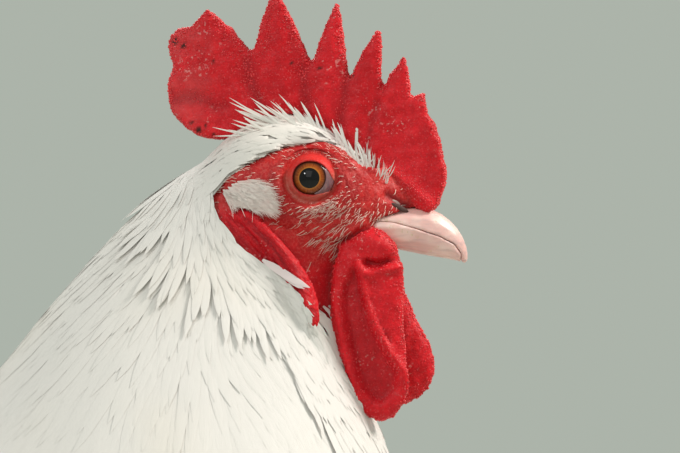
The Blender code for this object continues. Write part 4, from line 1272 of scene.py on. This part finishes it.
rows = []
for head_side in (-1, 1):
    for i in range(CAPE_FEATHERS):
        place_on = (i + chances.random()) / CAPE_FEATHERS * (len(CAPE_EDGE) - 1.001)
        a, b = (Vector(spot) for spot in drawn(CAPE_EDGE[int(place_on):int(place_on) + 2]))
        run = (b - a).normalized()
        behind = Vector((run.y, -run.x))
        far = (0.4 + CAPE_BREADTH * chances.random() ** 1.6) * MM
        long = chances.uniform(0.010, 0.016) + far * 0.8
        root = a.lerp(b, place_on % 1) + behind * (far + 0.0004) - run * long * chances.uniform(0.2, 0.8)
        spot, normal, _ = ground(outermost(root.x, root.y, head_side)[0])
        stream = lie(spot, normal)
        turn = min(far, 0.004) / long * 0.7 + chances.normal(0, 0.05)
        way = (run - behind * turn).lerp(Vector((stream.x, stream.z)), min(far / (CAPE_BREADTH * MM), 1.0))
        path, upright = over_skin(root, way.normalized(), long, head_side,
                                  0.0003 + 0.0003 * chances.random(), HACKLE, bow=-0.05)
        wide = chances.uniform(0.0012, 0.0020) + far * 0.1
        rows.append((path, upright, ground(path[0])[2].xy, wide, chances.random()))
feathered("cape_edge", HACKLE, rows)

# Down the front of the throat short feathers begin where the bare skin ends, between the wattles.
THROAT_FROM, THROAT_TO = 0.038, 0.090       # below the middle of the head


def throat_here(x, y, z):
    return (THROAT_FROM < HEAD_MIDDLE.z - z < THROAT_TO and abs(y) < 0.022 and x > HEAD_MIDDLE.x - 0.012)


laid("throat_feathers", HACKLE, sown(0.0018, throat_here),
     length=lambda root: 0.011 + 0.22 * (HEAD_MIDDLE.z - THROAT_FROM - root.z),
     width=lambda root: 0.0018, rise_from=0.35, rise_to=1.06, stray=5.0)

NAPE_REACH = 0.048


def nape_here(x, y, z):
    """True more and more seldom away from the nape, so that the short feathers thin out."""
    return hackle_here(x, y, z) and from_nape((x, y, z)) < NAPE_REACH * chances.uniform(0.45, 1.0)


laid("nape_hackle", HACKLE, sown(0.00125, nape_here), length=lambda root: 0.0095 + 0.3 * from_nape(root),
     width=lambda root: 0.0013 + 0.012 * from_nape(root), rise_from=0.2, rise_to=0.93, stray=2.0)

# Body: round-ended feathers, from the breast to the fluff and down the thighs, smallest at the hock.
# The outlines of the coverts and of the whole folded wing in the side view: (x, z).
WING_COVERTS = (
    (0.231, 0.340), (0.217, 0.299), (0.176, 0.268), (0.122, 0.264), (0.069, 0.288), (0.038, 0.326),
    (0.068, 0.362), (0.137, 0.374), (0.197, 0.371),
)
WING_MIDDLE = (
    (0.215, 0.340), (0.198, 0.306), (0.160, 0.286), (0.105, 0.274), (0.040, 0.282), (-0.020, 0.296),
    (-0.036, 0.304), (-0.014, 0.322), (0.040, 0.340), (0.080, 0.352), (0.140, 0.358), (0.190, 0.356),
)


def on_flank(y):
    return abs(y) > 0.045


def body_here(x, y, z):
    if on_flank(y) and inside(WING_MIDDLE, x, z):
        return False
    return (x > -0.060 or z < 0.31) and from_nape((x, y, z)) > 0.145 and z > 0.128


def towards_hock(root):
    return 1 - step(root.z, 0.14, 0.23)


def under_here(x, y, z):
    return body_here(x, y, z) or (on_flank(y) and inside(WING_COVERTS, x, z))


laid("under_body", UNDER, sown(0.0080, under_here), length=lambda root: 0.020 - 0.008 * towards_hock(root),
     width=lambda root: 0.018 - 0.009 * towards_hock(root), rise_from=0.40, rise_to=0.80, stray=10.0)
laid("body_feathers", CONTOUR, sown(0.0066, body_here),
     length=lambda root: 0.033 - 0.014 * towards_hock(root),
     width=lambda root: 0.0170 - 0.0080 * towards_hock(root),
     rise_from=0.10, rise_to=0.92, stray=7.0, pieces=4, finish=contour)

# Wings: small coverts at the shoulder, larger ones behind, over the long flights.
BANDS = (                                  # from x, to x, apart, long, wide
    (0.162, 0.240, 0.0056, 0.017, 0.0105),
    (0.108, 0.162, 0.0074, 0.026, 0.0145),
    (0.030, 0.108, 0.0086, 0.038, 0.0175),
)
for number, (rear, front, apart, long, wide) in enumerate(BANDS, 1):
    laid(f"wing_coverts_{number}", CONTOUR,
         sown(apart, lambda x, y, z: on_flank(y) and rear < x <= front and inside(WING_COVERTS, x, z)),
         length=lambda root: long, width=lambda root: wide, rise_from=0.50, rise_to=0.97, stray=4.0,
         finish=contour)

QUILL = Blade("quill", 8, (0.25, 0.62, 0.86, 1.0, 1.0, 1.0, 0.98, 0.92, 0.80, 0.56, 0.16), 0.00042,
              camber=0.13)
quill = Finish("flight_feather", Roughness=0.55, Specular_IOR_Level=0.3, Sheen_Weight=0.2,
               Sheen_Roughness=0.4)
vane = quill.node("ShaderNodeAttribute", {"attribute_name": "vane"}, out="Vector")
across, along, chance = (quill.axis(vane, letter) for letter in "XYZ")
from_shaft = quill.node("ShaderNodeMath", {"operation": "ABSOLUTE"}, across)
slant = along * 620.0 - from_shaft * 70.0
barbs = quill.node("ShaderNodeMath", {"operation": "SINE"}, slant) * 0.5 + 0.5
splits = quill.noise(quill.stretched(vane, (2.5, 14.0, 9.0)), 2.2, 3.0)
shaft = 1 - from_shaft.between(0.02, 0.06)
white = quill.tint(splits.between(0.35, 0.7) * 0.5, (0.79, 0.76, 0.735), (0.76, 0.72, 0.66))
white = quill.tint(barbs * 0.16, white, (0.62, 0.59, 0.56))
white = quill.tint(shaft * 0.55, white, (0.80, 0.73, 0.62))
white = quill.tint(chance * 0.14, white, (0.70, 0.67, 0.65))
quill.feed(Base_Color=white, Normal=quill.bump(barbs * 0.35 + shaft * 2.0 + splits * 0.8, 0.4, 0.00025))


def flank_place(x, z, wing_side, lift):
    """The point over the ground of the flank at a place in the side view, and its outward normal."""
    hit = ground_tree.ray_cast(Vector((x, wing_side * 0.3, z)), Vector((0, -wing_side, 0)))[0]
    spot, normal, chart = ground(hit or Vector((x, wing_side * 0.06, z)))
    return spot + normal * lift, normal, chart


# Flights: eleven to a wing, the highest outermost, each tip showing past the one above it.
FLIGHTS = 11
LOWEST_ROOT, HIGHEST_ROOT = Vector((0.205, 0.302)), Vector((0.110, 0.350))
LOWEST_TIP, HIGHEST_TIP, TIP_BOW = Vector((0.150, 0.245)), Vector((-0.066, 0.304)), 0.014
rows = []
for wing_side in (-1, 1):
    for i in range(FLIGHTS):
        share = i / (FLIGHTS - 1)
        root, tip = LOWEST_ROOT.lerp(HIGHEST_ROOT, share), LOWEST_TIP.lerp(HIGHEST_TIP, share)
        tip = tip - Vector((0, TIP_BOW * sin(pi * share)))
        path, upright = [], []
        for station in QUILL.stations:
            spot = root.lerp(tip, station) + Vector((0, 0.006 * sin(pi * station)))
            point, normal, chart = flank_place(spot.x, spot.y, wing_side, 0.0030 + 0.0036 * share)
            path.append(point)
            upright.append(normal)
        rows.append((path, upright, chart.xy, 0.021 + 0.003 * share, chances.random()))
feathered("wing_flights", QUILL, rows, quill, "white_feather",
          "wing_coverts_R", "wing_coverts_L", "wing_flights_R", "wing_flights_L")


# Saddle: long narrow feathers that hang back over the root of the tail and the ends of the wings.
def saddle_lie(point, normal):
    way = Vector((-1, 0, -0.30 - 5.0 * abs(point.y)))
    return (way - normal * way.dot(normal)).normalized()


def saddle_here(x, y, z):
    return -0.050 < x < 0.062 and z > 0.335 and not (on_flank(y) and inside(WING_COVERTS, x, z))


laid("saddle_hackle", HACKLE, sown(0.0040, saddle_here), length=lambda root: 0.066, width=lambda root: 0.0044,
     rise_from=0.35, rise_to=1.0, stray=3.0, way=saddle_lie)


# ------------------------------------------------------------------ tail
# Fourteen stiff main feathers in a tent of two fans, soft coverts over their roots, and four pairs
# of sickles that spring up and back and arch over to hanging tips.
BODY_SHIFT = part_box("foot_R")[0].x + (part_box("foot_R")[1].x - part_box("foot_R")[0].x) / 2 + 0.006
TAIL_ROOT = Vector((-0.178 + BODY_SHIFT, 0, 0.350))
FAN_FEATHERS, FAN_LOW, FAN_HIGH = 7, 12, 68
FAN_SHORT, FAN_LONG, FAN_WIDE, FAN_TENT, FAN_APART = 0.142, 0.176, 0.030, 0.32, 0.0024


def tail_chart(point):
    return ground(point)[2].xy


rows = []
ridge_angle = radians(FAN_HIGH + 6)
ridge = Vector((-cos(ridge_angle), 0, sin(ridge_angle)))
for tail_side in (-1, 1):
    for i in range(FAN_FEATHERS):
        share = i / (FAN_FEATHERS - 1)
        reach = FAN_SHORT + (FAN_LONG - FAN_SHORT) * share
        path = []
        for station in QUILL.stations:
            angle = radians(FAN_LOW + (FAN_HIGH - FAN_LOW) * share + 3.0 - 5.0 * station)
            arm = Vector((-cos(angle), 0, sin(angle))) * reach * (0.16 + 0.835 * station)
            below = (arm - ridge * arm.dot(ridge)).length
            out = FAN_APART + FAN_TENT * below - 0.0006 + 0.0003 * (i % 2)
            path.append(TAIL_ROOT + arm + Vector((0, tail_side * out, 0)))
        outwards = Vector((sin(ridge_angle) * FAN_TENT, tail_side, cos(ridge_angle) * FAN_TENT))
        upright = [outwards.normalized()] * len(path)
        rows.append((path, upright, tail_chart(path[0]), FAN_WIDE, chances.random()))
feathered("tail_main", QUILL, rows, quill, "white_feather", "tail_fan_R", "tail_fan_L")

# (length, angle at the root, angle at the tip, half width, distance out, root in the side view)
SICKLES = (
    (0.252, 76, -48, 0.0130, 0.0150, (-0.205, 0.412)),
    (0.205, 62, -50, 0.0120, 0.0280, (-0.208, 0.402)),
    (0.168, 46, -54, 0.0110, 0.0385, (-0.202, 0.382)),
    (0.130, 28, -60, 0.0100, 0.0460, (-0.192, 0.360)),
)
SHAFT = Blade("shaft", 4, (1.0, 1.0, 0.95, 0.9, 0.85, 0.8, 0.72, 0.64, 0.56, 0.47, 0.37, 0.25, 0.08), 0.0011)
SICKLE_SPREAD, SICKLE_SHARE = 0.05, 0.955
PATH_STEPS = 60


def sickle_path(tail_side, long, start, end, out, root):
    """The line of a feather that rises back from the tail's root, arches over and hangs down."""
    place = Vector((root[0] + BODY_SHIFT, tail_side * out, root[1]))
    path, upright = [place.copy()], [Vector((0, tail_side, 0))]
    marks = list(SHAFT.stations[1:])
    for i in range(PATH_STEPS):
        angle = radians(start + (end - start) * ((i + 0.5) / PATH_STEPS) ** 1.15)
        place = place + Vector((-cos(angle), tail_side * SICKLE_SPREAD, sin(angle))) * (long / PATH_STEPS)
        if marks and (i + 1) / PATH_STEPS >= marks[0] - 0.001:
            path.append(place.copy())
            upright.append(Vector((0.10 * sin(angle), tail_side, 0.10 * cos(angle))).normalized())
            marks.pop(0)
    return path, upright


# A sickle is a tapered shaft with a row of loose barbs down each side, close at the root and
# parting towards the tip.
BARBS = 104                                 # to each side of a large sickle
shafts, barbs = [], []


def at_share(points, share):
    """The point part of the way along a line."""
    return Vector([np.interp(share, SHAFT.stations, np.array(points)[:, axis]) for axis in range(3)])


def plumed(path, upright, half, chart, count, barb_wide=0.0028):
    """Adds a shaft along a path, and its barbs."""
    shafts.append((path, upright, chart, half * 0.13, 0.0))
    for i in range(count):
        share = 0.03 + 0.965 * (i + chances.uniform(0, 0.6)) / count
        spot, up = at_share(path, share), at_share(upright, share)
        after = at_share(path, min(share + 0.02, 1.0))
        ahead = (after - spot).normalized() if share < 0.985 else ahead
        wide = half * min(1.0, 0.45 + 2.2 * share) * (1 - share ** 5) + 0.0006
        for vane_side in (-1, 1):
            turn = radians(40 - 12 * share + chances.normal(0, 1.6))
            way = ahead * cos(turn) + ahead.cross(up) * (vane_side * sin(turn))
            reach = wide / sin(turn) * chances.uniform(0.88, 1.0)
            line, ups_here = blade_from(spot, way - up * 0.10, reach, ahead * 0.10 - up * 0.10, up, DOWNY)
            barbs.append((line, ups_here, chart, barb_wide * chances.uniform(0.86, 1.14), chances.random()))


for tail_side in (-1, 1):
    for long, start, end, half, out, root in SICKLES:
        path, upright = sickle_path(tail_side, long * SICKLE_SHARE, start, end, out, root)
        plumed(path, upright, half * 0.92, tail_chart(path[0]), BARBS)
feathered("sickle_shafts", SHAFT, shafts, quill)
feathered("sickle_barbs", DOWNY, barbs, quill, "white_feather",
          *(f"sickle_{tag}_{number}" for tag in "RL" for number in (1, 2, 3, 4)))

# Lesser sickles: softer curved feathers that fill the space between the large ones and the saddle.
LESSER, LESSER_BARBS = 15, 38
shafts, barbs = [], []
for tail_side in (-1, 1):
    for i in range(LESSER):
        share = (i + chances.uniform(0.2, 0.8)) / LESSER
        root = (-0.206 + chances.uniform(-0.010, 0.012), 0.352 + 0.052 * share)
        path, upright = sickle_path(tail_side, chances.uniform(0.085, 0.120), 18 + 44 * share,
                                    chances.uniform(-62, -40), 0.038 - 0.028 * share, root)
        plumed(path, upright, 0.0070, tail_chart(path[0]), LESSER_BARBS, barb_wide=0.0031)
feathered("lesser_sickle_shafts", SHAFT, shafts, quill)
feathered("lesser_sickle_barbs", DOWNY, barbs, quill)


# Coverts of the tail: softer feathers, curved like small sickles, that fill the tail's root.
def tail_here(x, y, z):
    return x < -0.045 and z > 0.30


tail_coat = laid("tail_covert_feathers", CONTOUR, sown(0.0066, tail_here), length=lambda root: 0.036,
                 width=lambda root: 0.0130, rise_from=0.15, rise_to=0.95, stray=5.0, finish=contour)
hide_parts("tail_coverts")


# ------------------------------------------------------------------ feathers of the head
# Down the brow and over the ear the feathers are tiny: a close white band with spiky ends against
# the comb, a tuft of hair-like plumes over the ear, and scattered bristles on the red skin.
def brow_here(x, y, z):
    return (z > HEAD_MIDDLE.z - 0.004 and x < HEAD_MIDDLE.x + 0.0165 and not bare_here(x, z)
            and from_nape((x, y, z)) < 0.062)


laid("brow_feathers", HACKLE, sown(0.00105, brow_here), length=lambda root: 0.0085,
     width=lambda root: 0.00125, rise_from=0.20, rise_to=1.0, stray=5.0, depth=lambda root: 0.0024)


# Along the foot of the comb, from its back to its front: (x, z, degrees above straight ahead, length)
SPIKY_EDGE = (
    (-16.0, 14.6, 176, 9.5), (-10.0, 16.6, 160, 12.5), (-4.5, 17.0, 143, 15.0), (0.5, 15.6, 130, 11.0),
    (5.0, 13.4, 118, 10.5), (9.5, 10.6, 108, 10.5), (13.5, 7.0, 100, 10.0), (17.0, 3.5, 97, 9.0),
    (19.5, -0.5, 90, 6.0),
)
SPIKES = 92


def on_line(line):
    """A place drawn by chance on a line of measured places."""
    place_on = chances.random() * (len(line) - 1.001)
    return (m + (n - m) * (place_on % 1) for m, n in zip(line[int(place_on)], line[int(place_on) + 1]))


rows = []
for head_side in (-1, 1):
    for i in range(SPIKES):
        x, z, angle, long = on_line(SPIKY_EDGE)
        x, z = drawn([(x + chances.normal(0, 0.6), z - abs(chances.normal(0, 1.5)) - 1.6)])[0]
        hit = ground_tree.ray_cast(Vector((x, head_side * 0.05, z)), Vector((0, -head_side, 0)))[0]
        root, normal, chart = ground(hit or Vector((x, head_side * 0.006, z)))
        angle = radians(angle + chances.normal(0, 9))
        way = Vector((cos(angle), head_side * chances.uniform(-0.06, 0.14), sin(angle)))
        outwards = Vector((0.1, head_side, 0.25)).normalized()
        long = long * chances.uniform(0.40, 1.08) * MM
        droop = Vector((chances.uniform(-0.30, 0.02), -head_side * 0.08, 0.10))
        rows.append((*blade_from(root + normal * 0.0012, way, long, droop, outwards, HACKLE), chart.xy,
                     chances.uniform(0.00045, 0.00095), chances.random() * 0.4))
feathered("crown_spikes", HACKLE, rows)

# Fine hair-like bristles stand up between the brow and the comb.
LORE_EDGE = ((15.0, 7.0), (18.5, 4.4), (21.5, 2.0), (24.5, -0.5))
LORE_BRISTLES = 28
rows = []
for head_side in (-1, 1):
    for i in range(LORE_BRISTLES):
        x, z = on_line(LORE_EDGE)
        root = on_side(x + chances.normal(0, 0.9), z - abs(chances.normal(0, 1.0)), head_side)
        angle = radians(chances.normal(66, 15))
        way = Vector((cos(angle), head_side * 0.35, sin(angle))).normalized()
        long = chances.uniform(2.6, 7.4) * MM
        droop = Vector((chances.uniform(-0.3, 0.1), -head_side * 0.15, 0))
        rows.append((*blade_from(root, way, long, droop, Vector((0, head_side, 0)), DOWNY),
                     ground(root)[2].xy, 0.00030, chances.random() * 0.5))
feathered("lore_bristles", DOWNY, rows)

# Ear tuft: hair-like plumes that spread forward and down from behind the ear.
TUFT_FROM = HEAD_MIDDLE + Vector((-0.030, 0, 0.0010))
skin_face_spots = np.flatnonzero((bare > 0.6) & (flush < 0.4))
skin_spots = points_of(skin.data)


def skin_ground(point):
    spot, normal, _, _ = skin_tree.find_nearest(point)
    return spot, normal, ground(point)[2]


def tuft_lie(point, normal):
    way = (point - TUFT_FROM).normalized() + Vector((0.25, 0, -0.28))
    return (way - normal * way.dot(normal)).normalized()


def picked_on_skin(count, allowed):
    """Places on the bare skin, drawn by chance, where allowed() gives more than a random number."""
    found = []
    while len(found) < count:
        spot = skin_spots[chances.choice(skin_face_spots)]
        if abs(spot[1]) > 0.004 and chances.random() < allowed(*by_head(spot[0], spot[2])):
            found.append(Vector(spot))
    return found


tuft = Finish("ear_tuft_feather", Roughness=0.6, Specular_IOR_Level=0.2, Sheen_Weight=0.2)
tuft_chance = tuft.axis(tuft.node("ShaderNodeAttribute", {"attribute_name": "vane"}, out="Vector"), "Z")
tuft_tone = tuft.tint(tuft_chance, (0.80, 0.660, 0.620), (0.83, 0.760, 0.720))
tuft.feed(Base_Color=tuft.tint(tuft.noise(tuft.place(), 260.0).between(0.45, 0.7) * 0.5, tuft_tone,
                               (0.74, 0.480, 0.450)))
laid("ear_tufts", BRISTLE, picked_on_skin(3800, lambda x, z: float(inside(EAR_TUFT, x, z))),
     length=lambda root: 0.0062, width=lambda root: 0.00024, rise_from=0.0, rise_to=1.0, stray=10.0,
     way=tuft_lie, loft=0.7, on=skin_ground, depth=lambda root: 0.0020, finish=tuft)

# Bristles: fine pale hairs that run back and down over the cheek from the nostril.
BRISTLES_FROM = HEAD_MIDDLE + Vector((0.031, 0, 0.001))
hair = Finish("face_bristle", Roughness=0.5, Specular_IOR_Level=0.3)
hair_chance = hair.axis(hair.node("ShaderNodeAttribute", {"attribute_name": "vane"}, out="Vector"), "Z")
hair_tone = hair.tint(hair_chance, (0.78, 0.60, 0.52), (0.60, 0.36, 0.31))
hair.feed(Base_Color=hair.tint(hair.noise(hair.place(), 300.0) * 0.4, hair_tone, (0.50, 0.20, 0.18)))


def bristle_lie(point, normal):
    way = (point - BRISTLES_FROM).normalized() + Vector((0, 0, -0.18))
    return (way - normal * way.dot(normal)).normalized()


def bristly(x, z):
    """How thickly bristles grow at a place on the face."""
    from_eye = ((x - 1.5) ** 2 + z ** 2) ** 0.5
    if from_eye < 8.8 or inside(EAR_TUFT, x, z) or x > 29:
        return 0.0
    throat = 0.16 * float(-3 < x < 12 and -46 < z < -18)
    under_eye = exp(-((z + 9.5 + 0.12 * (x - 10)) / 2.6) ** 2) * float(rise(x, -4, 3))
    cheek = 0.55 * exp(-(((x - 11) / 6.5) ** 2 + ((z + 17) / 8) ** 2))
    from_brow = far_from_line(np.array(drawn([(x, z)])), drawn(BARE_FACE[:8]))[0] / MM
    brow_edge = 0.8 * exp(-(from_brow / 1.6) ** 2)
    ear_edge = 0.5 * float(x < -20 and z < -2)
    return 0.08 + 0.9 * min(under_eye + cheek + brow_edge + ear_edge + throat, 1.0)


laid("face_bristles", BRISTLE, picked_on_skin(1700, bristly),
     length=lambda root: 0.0015 + 0.0030 * float(rise(HEAD_MIDDLE.z - root.z, 0.008, 0.022)),
     width=lambda root: 0.00020, rise_from=0.0, rise_to=1.0, stray=14.0, way=bristle_lie, on=skin_ground,
     depth=lambda root: 0.0008, finish=hair)

# Lashes: a row of tiny stiff bristles on the fold of each lid, some dark.
lash = Finish("lash_bristle", Roughness=0.6)
lash_chance = lash.axis(lash.node("ShaderNodeAttribute", {"attribute_name": "vane"}, out="Vector"), "Z")
lash.feed(Base_Color=lash.tint(lash_chance.between(0.45, 0.55), (0.74, 0.50, 0.44), (0.07, 0.025, 0.025)))
rows = []
for head_side in (-1, 1):
    for turn, reach in zip(*even_angles(EYE_OPENING)):
        if abs(sin(turn)) < 0.35:
            continue
        away = (reach + 2.5 + chances.uniform(-0.12, 0.12)) * MM
        x, z = EYE.x + away * cos(turn), EYE.z + away * sin(turn)
        hit, normal, _, _ = skin_tree.ray_cast(Vector((x, head_side * 0.06, z)), Vector((0, -head_side, 0)))
        if hit is None:
            continue
        way = (Vector((cos(turn) - 0.35, head_side * 0.6, sin(turn))) + normal * 0.2).normalized()
        line = blade_from(hit, way, chances.uniform(0.7, 1.3) * MM, Vector((-0.3, 0, 0)), normal, BRISTLE)
        rows.append((*line, ground(hit)[2].xy, 0.00022, chances.random()))
feathered("lid_lashes", BRISTLE, rows, lash, "face_skin")

# Wisps: loose yellowish ends of the throat's feathers, and one stray feather over each ear lobe.
wisp = Finish("wisp_feather", Roughness=0.6)
wisp_chance = wisp.axis(wisp.node("ShaderNodeAttribute", {"attribute_name": "vane"}, out="Vector"), "Z")
wisp.feed(Base_Color=wisp.tint(wisp_chance, (0.80, 0.72, 0.54), (0.78, 0.66, 0.66)))
WISPS = 30
# (where it starts, where it ends, width), in millimetres
LOOSE = (((-12.5, -24.6), (1.6, -33.2), 2.5), ((-9.0, -27.4), (0.2, -33.6), 1.3))
rows = []
for head_side in (-1, 1):
    for i in range(WISPS):
        z = chances.uniform(-88.0, -66.0)
        x = -0.5 * z - 20.0 + chances.uniform(-4, 2)
        root, _, chart = ground(Vector((HEAD_MIDDLE.x + x * MM, head_side * 0.006, HEAD_MIDDLE.z + z * MM)))
        angle = radians(chances.normal(-58, 9))
        way = Vector((cos(angle), head_side * chances.uniform(0.0, 0.25), sin(angle))).normalized()
        line = blade_from(root, way, chances.uniform(6, 13) * MM, Vector((0.18, -head_side * 0.1, -0.1)),
                          Vector((0.3, head_side, 0)).normalized(), HACKLE)
        rows.append((*line, chart.xy, chances.uniform(0.0004, 0.0010), chances.random() * 0.5))
    for start, end, wide in LOOSE:
        start, end = (Vector(spot) for spot in drawn((start, end)))
        way, long = (end - start).normalized(), (end - start).length
        path, upright = over_skin(start, way, long, head_side, 0.0013, HACKLE)
        rows.append((path, upright, ground(path[0])[2].xy, wide * MM, 1.0))
feathered("loose_wisps", HACKLE, rows, wisp)
